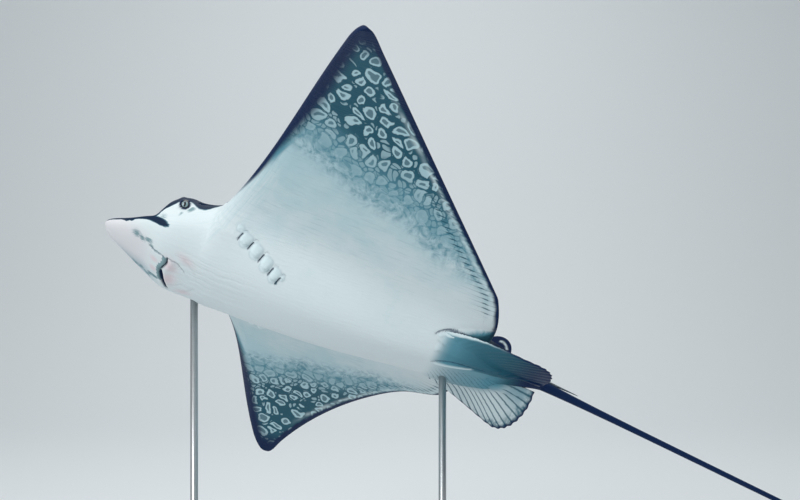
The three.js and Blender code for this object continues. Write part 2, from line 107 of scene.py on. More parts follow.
class Side(Enum):
    """The two faces of the flat animal."""

    BACK = 1
    BELLY = -1


class Hand(Enum):
    """The two halves of the animal, by its own right and left."""

    RIGHT = 1
    LEFT = -1

    @property
    def label(self) -> str:
        """Return the name of the half as the solids' names have it."""
        return self.name.lower()

    @property
    def mirror(self) -> Array:
        """Return the factors that take a place on the right half to this half."""
        return np.array([1, self.value, 1])


# ------------------------------------------------------------------ small tools
def clamp01(value: Array) -> Array:
    """Return value, held between 0 and 1."""
    return np.clip(value, 0.0, 1.0)


def mix(a: Array, b: Array, t: Array) -> Array:
    """Return the value a share t of the way from a to b."""
    return a + (b - a) * t


def ramp(value: Array, start: float, end: float) -> Array:
    """Return 0 up to start and 1 from end, with a smooth rise between.

    Args:
        value: Where on the ramp to look.
        start: Where the rise begins.
        end: Where it is complete. It may be below start, for a fall.

    Returns:
        The height of the ramp, from 0 to 1.
    """
    t = clamp01((value - start) / (end - start))
    return t * t * (3 - 2 * t)


def bell(value: Array, centre: float, width: float) -> Array:
    """Return a smooth bump of height 1 round centre, with the given half width."""
    return np.exp(-(((value - centre) / width) ** 2))


def round_edge(share: Array, over: float) -> Array:
    """Return a quarter ellipse: 0 at an edge and 1 from the share over inwards."""
    return np.sqrt(1 - (1 - clamp01(share / over)) ** 2)


def bunched(v: Array) -> Array:
    """Return v from 0 to 1 with its steps drawn together at both ends."""
    return (1 - np.cos(v * math.pi)) / 2


@dataclass(frozen=True)
class Profile:
    """A smooth curve through (place, value) pairs, cubic between each two.

    Attributes:
        pairs: The pairs, in rising order of place.
    """

    pairs: tuple[Pair, ...]

    def __call__(self, x: Array) -> Array:
        """Return the curve's value at x."""
        places, values = np.array(self.pairs).T
        last = len(places) - 1
        before = np.maximum(np.arange(last + 1) - 1, 0)
        after = np.minimum(np.arange(last + 1) + 1, last)
        slopes = (values[after] - values[before]) / (places[after] - places[before])
        i = np.clip(np.searchsorted(places, x) - 1, 0, last - 1)
        step = places[i + 1] - places[i]
        rise = values[i + 1] - values[i]
        t = clamp01((x - places[i]) / step)
        bend0 = slopes[i] * step - rise
        bend1 = rise - slopes[i + 1] * step
        return values[i] + rise * t + t * (1 - t) * (bend0 * (1 - t) + bend1 * t)


@dataclass(frozen=True)
class Chain:
    """Cubic Bezier curves end to end, through the first, fourth, seventh ... point.

    Attributes:
        points: Ends and control points of the curves, in order.
        halvings: How often the search for a crossing halves its span.
    """

    points: tuple[Pair, ...]
    halvings: int = 40

    def __call__(self, t: Array) -> tuple[Array, Array]:
        """Return the two coordinates of the point a share t of the way along."""
        corners = np.array(self.points)
        curves = (len(corners) - 1) // 3
        i = np.minimum((t * curves).astype(int), curves - 1)
        t = t * curves - i
        weights = ((1 - t) ** 3, 3 * t * (1 - t) ** 2, 3 * t * t * (1 - t), t**3)
        first, second = (
            sum(w * corners[3 * i + k, axis] for k, w in enumerate(weights)) for axis in (0, 1)
        )
        return first, second

    def crossing(self, y: Array) -> Array:
        """Return how far aft an outward-running edge is at distance y from the middle."""
        low = np.zeros_like(y)
        high = np.ones_like(y)
        for _ in range(self.halvings):
            middle = (low + high) / 2
            inside = self(middle)[1] < y
            low = np.where(inside, middle, low)
            high = np.where(inside, high, middle)
        return self((low + high) / 2)[0]


# ------------------------------------------------------------------ the ray's form
@dataclass(frozen=True)
class WingBend:
    """How a flat wing is bent up or down, swept and cupped.

    Attributes:
        slope: Slope from root to tip in degrees, as a + b s + c s^2.
        sweep: How far the tip is swept aft.
        spread: How much the chord is let out, or drawn in below 0, towards the tip.
        sag: How far the inner rear corner hangs.
        root: Where the wing begins, off the middle.
        mid_chord: Place aft about which the chord is let out or drawn in.
        sag_y: Middle of the hanging corner, off the middle.
        sag_reach: Half its width.
        sag_from: How far aft the hang begins.
        sag_to: How far aft it is complete.
        steps: Number of steps in the sum along the span.
    """

    slope: Triple
    sweep: float
    spread: float
    sag: float = 0.0
    root: float = 0.068
    mid_chord: float = 0.285
    sag_y: float = 0.13
    sag_reach: float = 0.05
    sag_from: float = 0.38
    sag_to: float = 0.52
    steps: int = 1200

    def share(self, y: Array) -> Array:
        """Return how far out on the wing y lies, from 0 at the root to 1 at the tip."""
        return clamp01((y - self.root) / (HALF_SPAN - self.root))

    def slope_at(self, y: Array) -> Array:
        """Return the slope of the wing at distance y from the middle, in radians."""
        a, b, c = (math.radians(v) for v in self.slope)
        s = self.share(y)
        return (a + b * s + c * s * s) * ramp(y, 0, self.root)

    def place(self, x: Array, y: Array, z: Array) -> tuple[Array, Array, Array]:
        """Bend flat points.

        Args:
            x: Distances aft.
            y: Distances from the middle, none below 0.
            z: Heights over the flat plane.

        Returns:
            Distances aft, outwards and up.
        """
        marks = np.linspace(0, HALF_SPAN, self.steps + 1)
        step = HALF_SPAN / self.steps
        slopes = self.slope_at((marks[1:] + marks[:-1]) / 2)
        out = np.interp(y, marks, np.append(0, np.cumsum(np.cos(slopes)) * step))
        up = np.interp(y, marks, np.append(0, np.cumsum(np.sin(slopes)) * step))
        slope = self.slope_at(y)
        sag = ramp(x, self.sag_from, self.sag_to) * bell(y, self.sag_y, self.sag_reach)
        aft = x + (self.sweep + self.spread * (x - self.mid_chord)) * self.share(y) ** 2
        return aft, out - z * np.sin(slope), up + z * np.cos(slope) - self.sag * sag


@dataclass(frozen=True)
class Pose:
    """How the whole animal lies in the room.

    Attributes:
        yaw: Turn about the upright, in degrees.
        pitch: Head up, in degrees.
        bank: Roll about its own length, in degrees; left wing up below 0.
        snout: Where the tip of the snout is, in metres.
    """

    yaw: float = 1.2
    pitch: float = 22.8
    bank: float = -40.5
    snout: Triple = (-0.43, -0.02, 1.084)

    def turn(self) -> Array:
        """Return the turn from the ray's frame to the room, as a 3 by 3 array."""
        angles = Euler([math.radians(v) for v in (self.bank, self.pitch, self.yaw)], "XYZ")
        return np.array(angles.to_matrix())

    def to_room(self, points: Array) -> Array:
        """Return points of the ray's frame, in shares, as places in the room, in metres."""
        return points @ self.turn().T * DISC_WIDTH + np.array(self.snout)


@dataclass(frozen=True)
class RayForm:
    """The shape of the ray without its fine relief, as the solids have it.

    x runs aft from the tip of the snout, y to the ray's right and z up through its back.

    Attributes:
        head_edge: Outline from the tip of the snout to the wing root.
        leading_edge: Outline from the wing root to the tip.
        trailing_edge: Outline from the start of the tail to the wing tip.
        tail_root_edge: Outline that closes round the start of the tail.
        crown: Height of the back along the middle.
        keel: Height of the belly along the middle.
        waist: Height of the outline.
        hump_width: How far off the middle the body has half its height over the wings.
        hump_sharpness: How abruptly the body falls off to the wings.
        head_squareness: How square the head is in section; 2 is an ellipse.
        brow: Middle of the swelling over each eye, aft and off the middle.
        brow_size: Its half length behind its middle, and its half width.
        brow_front: Its half length in front of its middle.
        brow_rise: How high it stands.
        half_thickness: Half the thickness of a wing at root and tip.
        span_power: How late a wing thins out towards its tip.
        rear_share: What is left of its thickness at the rear edge.
        full_at: Share of the chord where it is thickest.
        nose: Share of the chord that the round front edge takes up.
        tail: Share of the chord that the round rear edge takes up.
        end: Share of the span that the round tip takes up.
        right: How the right wing is bent.
        left: How the left wing is bent.
        pose: How the animal lies in the room.
    """

    head_edge: Chain = Chain((
        (0, 0), (0, 0.0105), (0.012, 0.0163), (0.03, 0.0287),
        (0.044, 0.0385), (0.056, 0.0495), (0.073, 0.0588),
        (0.098, 0.0725), (0.13, 0.0685), (0.138, 0.087),
    ))
    leading_edge: Chain = Chain((
        (0.138, 0.087), (0.188, 0.195), (0.204, 0.335), (0.2625, 0.468),
        (0.272, 0.488), (0.281, 0.5), (0.29, 0.5),
    ))
    trailing_edge: Chain = Chain((
        (0.562, 0.021), (0.535, 0.025), (0.515, 0.03), (0.511, 0.048),
        (0.514, 0.068), (0.507, 0.092), (0.493, 0.125),
        (0.405, 0.238), (0.34, 0.352), (0.305, 0.465),
        (0.3, 0.484), (0.2985, 0.5), (0.29, 0.5),
    ))
    tail_root_edge: Chain = Chain((
        (0.562, 0.021), (0.572, 0.0165), (0.585, 0.0095), (0.603, 0.0065),
        (0.613, 0.005), (0.62, 0.003), (0.62, 0),
    ))
    crown: Profile = Profile((
        (0, -0.027), (0.004, -0.022), (0.025, -0.02), (0.05, -0.0205), (0.0665, -0.0195),
        (0.0695, 0.006), (0.0745, 0.029), (0.083, 0.0355), (0.11, 0.041), (0.2, 0.056), (0.3, 0.056),
        (0.4, 0.04), (0.5, 0.0235), (0.562, 0.015), (0.597, 0.0122), (0.62, 0.0105),
    ))
    keel: Profile = Profile((
        (0, -0.027), (0.004, -0.0325), (0.02, -0.0378), (0.06, -0.0472), (0.09, -0.0565),
        (0.14, -0.0575), (0.24, -0.058), (0.32, -0.054), (0.4, -0.044), (0.5, -0.0255),
        (0.562, -0.0105), (0.597, -0.0032), (0.62, -0.0005),
    ))
    waist: Profile = Profile((
        (0, -0.027), (0.055, -0.029), (0.095, -0.028), (0.15, -0.005), (0.2, 0), (0.5, 0),
        (0.562, 0.0025), (0.597, 0.0046), (0.62, 0.005),
    ))
    hump_width: Profile = Profile((
        (0, 0.16), (0.1, 0.13), (0.16, 0.08), (0.22, 0.066), (0.3, 0.058), (0.42, 0.045),
        (0.62, 0.04),
    ))
    hump_sharpness: float = 3
    head_squareness: float = 2.5
    brow: Pair = (0.079, 0.049)
    brow_size: Pair = (0.02, 0.018)
    brow_front: float = 0.0055
    brow_rise: float = 0.0135
    half_thickness: Pair = (0.0155, 0.0026)
    span_power: float = 0.8
    rear_share: float = 0.14
    full_at: float = 0.22
    nose: float = 0.1
    tail: float = 0.03
    end: float = 0.01
    right: WingBend = WingBend((14.8, -28, -4.1), -0.003, 0.2, 0.015)
    left: WingBend = WingBend((5.2, -30.6, -7), -0.029, -0.3)
    pose: Pose = Pose()

    def bend(self, x: Array, y: Array, z: Array) -> Array:
        """Return where flat points x, y at heights z lie in the ray's frame, one in a row."""
        sides = [wing.place(x, np.abs(y), z) for wing in (self.left, self.right)]
        aft, out, up = (np.where(y < 0, a, b) for a, b in zip(*sides))
        return np.stack([aft, np.where(y < 0, -out, out), up], axis=-1)

    def round_head(self, s: Array) -> Array:
        """Return the height of the head's rounded section a share s off the middle."""
        power = self.head_squareness
        return np.maximum(1 - np.abs(s) ** power, 0) ** (1 / power)

    def height(self, x: Array, y: Array, side: Side, rounding: Array, chord: Array) -> Array:
        """Return the height of the back or belly over flat points x, y.

        Args:
            x: Distances aft.
            y: Distances to the right.
            side: Back or belly.
            rounding: 0 on the outline and 1 well inside it.
            chord: Shares of the way from the front to the rear edge.

        Returns:
            The heights, as shares of the disc width.
        """
        thinning = clamp01((chord - self.full_at) / (1 - self.full_at))
        span = self.right.share(np.abs(y)) ** self.span_power
        wing = mix(*self.half_thickness, span) * mix(1, self.rear_share, thinning)
        waist = self.waist(x)
        body = self.crown(x) - waist if side is Side.BACK else waist - self.keel(x)
        hump = 0.5 ** ((np.abs(y) / self.hump_width(x)) ** self.hump_sharpness)
        reach = np.where(x < self.brow[0], self.brow_front, self.brow_size[0])
        off = np.hypot((x - self.brow[0]) / reach, (np.abs(y) - self.brow[1]) / self.brow_size[1])
        brow = self.brow_rise * np.exp(-off * off) if side is Side.BACK else 0
        return waist + side.value * rounding * (mix(wing, body, hump) + brow)


@dataclass(frozen=True)
class Spot:
    """Flat places on the animal, with what the form needs to know of them.

    Attributes:
        x: Distances aft.
        y: Distances to the right.
        rounding: 0 on the outline and 1 well inside it.
        chord: Shares of the way from the front to the rear edge.
    """

    x: Array
    y: Array
    rounding: Array
    chord: Array


@dataclass(frozen=True)
class Layout:
    """The sheets that the skin of the body is laid out in, and the flat place of each point.

    Each sheet is a square grid, u across and v along. Neighbours share their edge rows, so their
    meshes weld together.

    Attributes:
        form: The form that the sheets cover.
        flare: How fast the shoulders widen aft of the head.
        shoulder: Where the head's section goes over into the trunk's, in noses of the chord.
        corner_power: How close to the wing root the trunk takes over the wing's round front.
    """

    form: RayForm
    flare: float = 2.28
    shoulder: Pair = (0.5, 1.8)
    corner_power: int = 10

    def head(self, u: Array, v: Array) -> Spot:
        """Return the places of the strip from the snout to the wing roots."""
        s = np.sin((u - 0.5) * math.pi)
        x, y = self.form.head_edge(v)
        return Spot(x, s * y, self.form.round_head(s), np.zeros_like(u))

    def trunk(self, u: Array, v: Array) -> Spot:
        """Return the places of the strip between the wings."""
        s = np.sin((u - 0.5) * math.pi)
        chord = bunched(v)
        x = mix(ROOT_FRONT[0], ROOT_REAR[0], chord)
        y = s * mix(ROOT_FRONT[1], ROOT_REAR[1], chord)
        drawn_in = 1 - self.form.round_head(s)
        widened = ROOT_FRONT[1] + self.flare * (x - ROOT_FRONT[0])
        shoulder = self.form.round_head(y / widened)
        begin, done = (part * self.form.nose for part in self.shoulder)
        shoulder = mix(shoulder, 1, ramp(chord, begin, done))
        sharp = 1 - drawn_in * (1 - round_edge(chord, self.form.nose))
        front = mix(shoulder, sharp, s**self.corner_power)
        rear = 1 - drawn_in * (1 - round_edge(1 - chord, self.form.tail))
        return Spot(x, y, front * rear, chord)

    def tail_root(self, u: Array, v: Array) -> Spot:
        """Return the places of the strip that closes round the start of the tail."""
        s = np.sin((u - 0.5) * math.pi)
        x, y = self.form.tail_root_edge(v)
        closing = np.sqrt(1 - clamp01(2 * v - 1) ** 2)
        return Spot(x, s * y, self.form.round_head(s) * closing, np.ones_like(u))

    def wing(self, u: Array, v: Array, hand: Hand) -> Spot:
        """Return the places of one wing, u from root to tip and v from front to rear."""
        out = mix(u, np.sin(u * math.pi / 2), ramp(u, 0, 1))
        front_y = mix(ROOT_FRONT[1], HALF_SPAN, out)
        rear_y = mix(ROOT_REAR[1], HALF_SPAN, out)
        chord = bunched(v)
        front_x = self.form.leading_edge.crossing(front_y)
        x = mix(front_x, self.form.trailing_edge.crossing(rear_y), chord)
        edges = round_edge(chord, self.form.nose) * round_edge(1 - chord, self.form.tail)
        rounding = edges * round_edge(1 - out, self.form.end)
        return Spot(x, hand.value * mix(front_y, rear_y, chord), rounding, chord)


# ------------------------------------------------------------------ relief and markings
def write_places(mesh: bpy.types.Mesh, places: Array) -> None:
    """Move the vertices of a mesh to places given one in a row."""
    mesh.vertices.foreach_set("co", places.astype(np.float32).ravel())


def write_vectors(mesh: bpy.types.Mesh, name: str, vectors: Array) -> None:
    """Store one vector for each vertex of a mesh, as a point attribute of the given name."""
    made = mesh.attributes.new(name, "FLOAT_VECTOR", "POINT")
    made.data.foreach_set("vector", vectors.astype(np.float32).ravel())


@dataclass
class Coat:
    """What the skin's material needs to know of each point, as one array per mask.

    Attributes:
        flat: Flat place in shares, and 1 on the back or -1 on the belly, 0 on the outline.
        dark: How dark the ground is.
        back: How far that ground is the dark blue of the back.
        rings: How clearly the spots show.
        size: How large the spots are.
        line: Ink of creases, slits and margins.
        blush: Pink of the snout and chin.
        shade: Grey-green patches, and painted shadow in the hollows in front of the gill slits.
        rays: How strongly fin rays show.
        ray: Place across the fin rays.
        tint: How far the skin goes from its own colour through teal to near black, as real colour and
            as painted shade.
        pale: Where it is bleached.
    """

    flat: Array
    dark: Array
    back: Array
    rings: Array
    size: Array
    line: Array
    blush: Array
    shade: Array
    rays: Array
    ray: Array
    tint: Array
    pale: Array

    MASKS = (
        "dark", "back", "rings", "size", "line", "blush", "shade", "rays", "ray", "tint", "pale",
    )

    def store(self, mesh: bpy.types.Mesh) -> None:
        """Write every mask to the mesh as a point attribute."""
        write_vectors(mesh, "flat", self.flat)
        for name in self.MASKS:
            values = getattr(self, name).astype(np.float32)
            mesh.attributes.new(name, "FLOAT", "POINT").data.foreach_set("value", values)


def plain_coat(flat: Array, **masks: Array) -> Coat:
    """Return a coat whose masks are 0 apart from those given."""
    empty = {name: np.zeros(len(flat)) for name in Coat.MASKS}
    return Coat(flat, **{**empty, **masks})


@dataclass(frozen=True)
class Crease:
    """A groove or fold that runs along a curve on one half of the belly, in flat shares.

    Attributes:
        path: The curve, with y off the middle.
        width: Half width.
        depth: How deep it is; a ridge is below 0.
        ink: How dark it is drawn.
        lip: How far its aft side stands up.
        halves: The halves of the animal that have it.
        samples: Number of points that distances are measured from.
        fade: Share of its length over which it runs out at each end.
    """

    path: Chain
    width: float
    depth: float
    ink: float = 0.0
    lip: float = 0.0
    halves: tuple[Hand, ...] = (Hand.RIGHT, Hand.LEFT)
    samples: int = 48
    fade: float = 0.14

    def _near(self, x: Array, y: Array) -> tuple[Array, Array, Array, Array]:
        """Measure the flat places x, y that lie near the crease.

        Args:
            x: Distances aft.
            y: Distances to the right.

        Returns:
            Which places are near and, for those: how far off the crease they are, how far aft of
            it, and the share of its length from there to its nearer end.
        """
        t = np.linspace(0, 1, self.samples)
        px, py = self.path(t)
        reach = 5 * self.width + 0.004
        hands = sum((y * hand.value > 0) for hand in self.halves).astype(bool)
        off = np.abs(y)
        near = hands & (x > px.min() - reach) & (x < px.max() + reach)
        near &= (off > py.min() - reach) & (off < py.max() + reach)
        gap_x = x[near][:, None] - px
        gap_y = off[near][:, None] - py
        gaps = np.hypot(gap_x, gap_y)
        nearest = gaps.argmin(axis=1)
        rows = np.arange(len(nearest))
        ends = np.minimum(t[nearest], 1 - t[nearest])
        return near, gaps[rows, nearest], gap_x[rows, nearest], ends

    def relief(self, x: Array, y: Array) -> Array:
        """Return the height that the crease adds at flat places x, y."""
        near, gap, aft, ends = self._near(x, y)
        groove = -self.depth * np.exp(-((gap / self.width) ** 2))
        side = ramp(aft, -self.width, self.width)
        lip = self.lip * side * bell(gap, 2.2 * self.width, 1.6 * self.width)
        out = np.zeros_like(x)
        out[near] = (groove + lip) * ramp(ends, 0, self.fade)
        return out

    def drawn(self, x: Array, y: Array) -> Array:
        """Return how dark the crease is drawn at flat places x, y."""
        near, gap, _, ends = self._near(x, y)
        across = ramp(gap, self.width * 1.25, self.width * 0.35)
        out = np.zeros_like(x)
        out[near] = self.ink * across * ramp(ends, -0.02, 0.06)
        return out


@dataclass(frozen=True)
class Pad:
    """A rounded swelling on both halves of the belly, in flat shares.

    Attributes:
        centre: Its middle, aft of the snout and off the middle line.
        size: Half its length and half its width.
        turn: How far its length is turned outwards, in degrees.
        rise: How far it stands out; a hollow is below 0.
        sharpness: How abruptly it ends.
        square: How square its outline is; 2 is an ellipse.
    """

    centre: Pair
    size: Pair
    turn: float
    rise: float
    sharpness: float = 2.0
    square: float = 2.0

    def share(self, x: Array, y: Array) -> Array:
        """Return 1 in the middle of the pad, falling to 0 outside."""
        angle = math.radians(self.turn)
        dx, dy = x - self.centre[0], np.abs(y) - self.centre[1]
        along = (dx * math.cos(angle) + dy * math.sin(angle)) / self.size[0]
        across = (dy * math.cos(angle) - dx * math.sin(angle)) / self.size[1]
        off = (np.abs(along) ** self.square + np.abs(across) ** self.square) ** (1 / self.square)
        return np.exp(-(off**self.sharpness))

    def relief(self, x: Array, y: Array) -> Array:
        """Return the height that the pad adds at flat places x, y."""
        return self.rise * self.share(x, y)


def line(*points: Pair) -> Chain:
    """Return a smooth curve through two ends and two points between that pull it."""
    return Chain(points)


@dataclass(frozen=True)
class Gills:
    """The row of five gill slits on each side of the throat, with puffed flaps between them.

    Attributes:
        middles: The middle of each slit, front to rear.
        length: Length of a slit.
        slant: How far a slit's outer end lies aft of its inner end.
        slit: Half width and depth of a slit.
        curl: Half width and depth of a fold at its outer end.
        turn: How far the flaps are turned, in degrees.
    """

    middles: tuple[Pair, ...] = (
        (0.1752, 0.0828), (0.1905, 0.0757), (0.2077, 0.0665), (0.2242, 0.0568), (0.2363, 0.0503),
    )
    length: float = 0.0104
    slant: float = 0.0034
    slit: Pair = (0.0009, 0.0034)
    curl: Pair = (0.0007, 0.0012)
    turn: float = -27

    def slits(self) -> list[Crease]:
        """Return the slits, each a little curved."""
        made = []
        for x, y in self.middles:
            half, back = self.length / 2, self.slant / 2
            path = line(
                (x + back + 0.0012, y + half), (x + back * 0.2, y + half * 0.5),
                (x - back * 0.2, y - half * 0.4), (x - back - 0.0004, y - half),
            )
            made.append(Crease(path, *self.slit, ink=0.95))
        return made

    def _between(self, share: float) -> list[Pair]:
        """Return a place a share of the way from each slit to the next."""
        pairs = zip(self.middles, self.middles[1:])
        return [(mix(a[0], b[0], share), mix(a[1], b[1], share)) for a, b in pairs]

    def flaps(self) -> list[Pad]:
        """Return the rounded flap behind each slit, fullest outside, and a low one at each end."""
        full = [
            Pad(
                (x, y + 0.0034), (0.0074 - 0.0005 * i, 0.0058), self.turn, 0.004,
                sharpness=3.6, square=3.0,
            )
            for i, (x, y) in enumerate(self._between(0.52))
        ]
        low = [
            Pad((x, y - 0.0028), (0.0052, 0.0045), self.turn, 0.0012)
            for x, y in self._between(0.45)
        ]
        first, last = self.middles[0], self.middles[-1]
        ends = [
            Pad((first[0] - 0.0035, first[1] + 0.0095), (0.005, 0.0036), self.turn, 0.0016),
            Pad((last[0] + 0.0032, last[1] + 0.0046), (0.0034, 0.003), self.turn, 0.002),
        ]
        return [*full, *low, *ends]

    def hollows(self) -> list[Pad]:
        """Return the hollow in front of each slit but the first."""
        return [
            Pad((x - 0.0034, y - 0.0012), (0.0026, 0.0042), -20, -0.0012) for x, y in self.middles[1:]
        ]

    def curls(self) -> list[Crease]:
        """Return the short folds at the outer ends of the slits."""
        made = []
        for x, y in self.middles:
            path = line(
                (x + 0.0022, y + 0.0062), (x + 0.0035, y + 0.0088),
                (x + 0.0062, y + 0.0088), (x + 0.0078, y + 0.0062),
            )
            made.append(Crease(path, *self.curl, ink=0.16))
        return made


@dataclass(frozen=True)
class Mouth:
    """The mouth across the underside of the head, with the flap of skin in front of it.

    Attributes:
        x: How far aft its line crosses the middle.
        set_back: How far aft of that its corners lie.
        corner: How far off the middle they lie.
        slack: Least width that the gap is reckoned with, so that a shut mouth has one.
        scallops: Length of one scallop of the flap's fringe.
    """

    x: float = 0.0918
    set_back: float = 0.0078
    corner: float = 0.034
    slack: float = 1e-5
    scallops: float = 0.0052

    def behind(self, x: Array, y: Array) -> Array:
        """Return how far behind the line of the mouth flat places x, y lie."""
        bulge = 0.0052 * bell(y, -0.0155, 0.0105)
        return x - self.x - self.set_back * (y / self.corner) ** 2 - bulge

    def open(self, y: Array) -> Array:
        """Return 1 between the corners of the mouth, falling to 0 past them."""
        reach = mix(0.0245, 0.038, ramp(y, -0.01, 0.01))
        return ramp(np.abs(y), reach + 0.002, reach - 0.003)

    def width(self, y: Array) -> Array:
        """Return half the width of the gap between the jaws, wider to the right."""
        return mix(0.0008, 0.0026, ramp(y, -0.001, 0.01)) * self.open(y)

    def relief(self, x: Array, y: Array) -> Array:
        """Return the height that the mouth adds at flat places x, y."""
        behind = self.behind(x, y)
        gap = -0.0055 * np.exp(-((behind / (self.width(y) + self.slack)) ** 2))
        curtain = 0.0017 * bell(behind, -0.0034, 0.0026)
        chin = 0.0019 * bell(behind, 0.0062, 0.0048)
        return self.open(y) * (gap + curtain + chin)

    def drawn(self, x: Array, y: Array) -> Array:
        """Return how dark the gap is drawn at flat places x, y."""
        behind = np.abs(self.behind(x, y))
        width = self.width(y)
        return ramp(behind, width * 1.25 + self.slack, width * 0.75) * self.open(y)

    def curtain(self, x: Array, y: Array) -> Array:
        """Return the share of the fringed flap in front of the mouth at flat places x, y."""
        scallop = 0.0007 * np.cos(y * FULL_TURN / self.scallops)
        front = ramp(self.behind(x, y), -0.0085 + scallop, -0.005 + scallop)
        return front * ramp(self.behind(x, y), 0.001, -0.0005) * ramp(np.abs(y), 0.0255, 0.022)


def unit(*parts: float) -> Array:
    """Return the vector with the given parts, made one long."""
    vector = np.array(parts, dtype=float)
    return vector / np.linalg.norm(vector)


@dataclass(frozen=True)
class EyeForm:
    """Place and size of the eyes, and of the rim that the skin forms round them.

    Attributes:
        centre: Middle of the right eyeball in the ray's frame.
        radius: Radius of the eyeball.
        opening: Radius of the opening in the skin.
        reach: How far from the eye's axis the rim runs out.
        gaze: Which way the right eye looks.
        behind: How far the floor of the socket lies behind the eyeball's surface.
        proud: How far the rim stands over the opening.
    """

    centre: Triple = (0.0905, 0.0565, 0.005)
    radius: float = 0.0085
    opening: float = 0.0054
    reach: float = 0.0125
    gaze: Triple = (0.03, 0.9, -0.3)
    behind: float = 0.0007
    proud: float = 0.0005

    def axis(self, hand: Hand) -> tuple[Array, Array]:
        """Return the middle of one eyeball and the direction it looks in."""
        return np.array(self.centre) * hand.mirror, unit(*self.gaze) * hand.mirror

    def off_axis(self, points: Array, hand: Hand) -> tuple[Array, Array]:
        """Return how far points lie along one eye's axis, and off it."""
        centre, gaze = self.axis(hand)
        offset = points - centre
        along = offset @ gaze
        return along, np.linalg.norm(offset - along[:, None] * gaze, axis=1)

    def socket(self, points: Array) -> Array:
        """Return points of the skin, moved to make both sockets and their rims."""
        points = points.copy()
        for hand in Hand:
            gaze = self.axis(hand)[1]
            along, off = self.off_axis(points, hand)
            inside = (off < self.reach) & (along > 0)
            ball = np.sqrt(np.maximum(self.radius**2 - off**2, 0)) - self.behind
            seat = math.sqrt(self.radius**2 - self.opening**2) + 0.0001
            rim = seat + self.proud * bell(off, self.opening + 0.0011, 0.001)
            outer = mix(rim, along, ramp(off, self.opening + 0.0006, self.reach))
            target = np.where(off < self.opening, ball, outer)
            points[inside] += ((target - along)[:, None] * gaze)[inside]
        return points

    def rim(self, points: Array) -> Array:
        """Return how dark the rims of the eyes are drawn at points of the skin."""
        total = np.zeros(len(points))
        for hand in Hand:
            along, off = self.off_axis(points, hand)
            total += ramp(off, self.opening + 0.0022, self.opening + 0.0012) * (along > 0)
        return total


@dataclass(frozen=True)
class Spiracle:
    """The breathing hole behind each eye.

    Attributes:
        centre: Its middle on the right side, in the ray's frame.
        radii: Half its length and half its width.
        depth: How deep it is.
        facing: Which way the right one opens.
    """

    centre: Triple = (0.113, 0.0615, 0.021)
    radii: Pair = (0.0115, 0.0055)
    depth: float = 0.006
    facing: Triple = (0.1, 0.75, 0.62)

    def share(self, points: Array, hand: Hand) -> Array:
        """Return 1 in the middle of one spiracle, falling to 0 at its edge."""
        facing = unit(*self.facing) * hand.mirror
        offset = points - np.array(self.centre) * hand.mirror
        offset = offset - (offset @ facing)[:, None] * facing
        across = np.hypot(offset[:, 1], offset[:, 2])
        off = np.hypot(offset[:, 0] / self.radii[0], across / self.radii[1])
        outer = (points[:, 1] * hand.value > 0.03) & (points[:, 2] > -0.01)
        return ramp(off, 1.0, 0.35) * outer

    def hollow(self, points: Array) -> Array:
        """Return points of the skin, pushed in to make both spiracles."""
        points = points.copy()
        for hand in Hand:
            facing = unit(*self.facing) * hand.mirror
            points -= (self.depth * self.share(points, hand))[:, None] * facing
        return points

    def drawn(self, points: Array) -> Array:
        """Return how dark the spiracles are drawn at points of the skin."""
        return sum(ramp(self.share(points, hand), 0.25, 0.8) for hand in Hand)


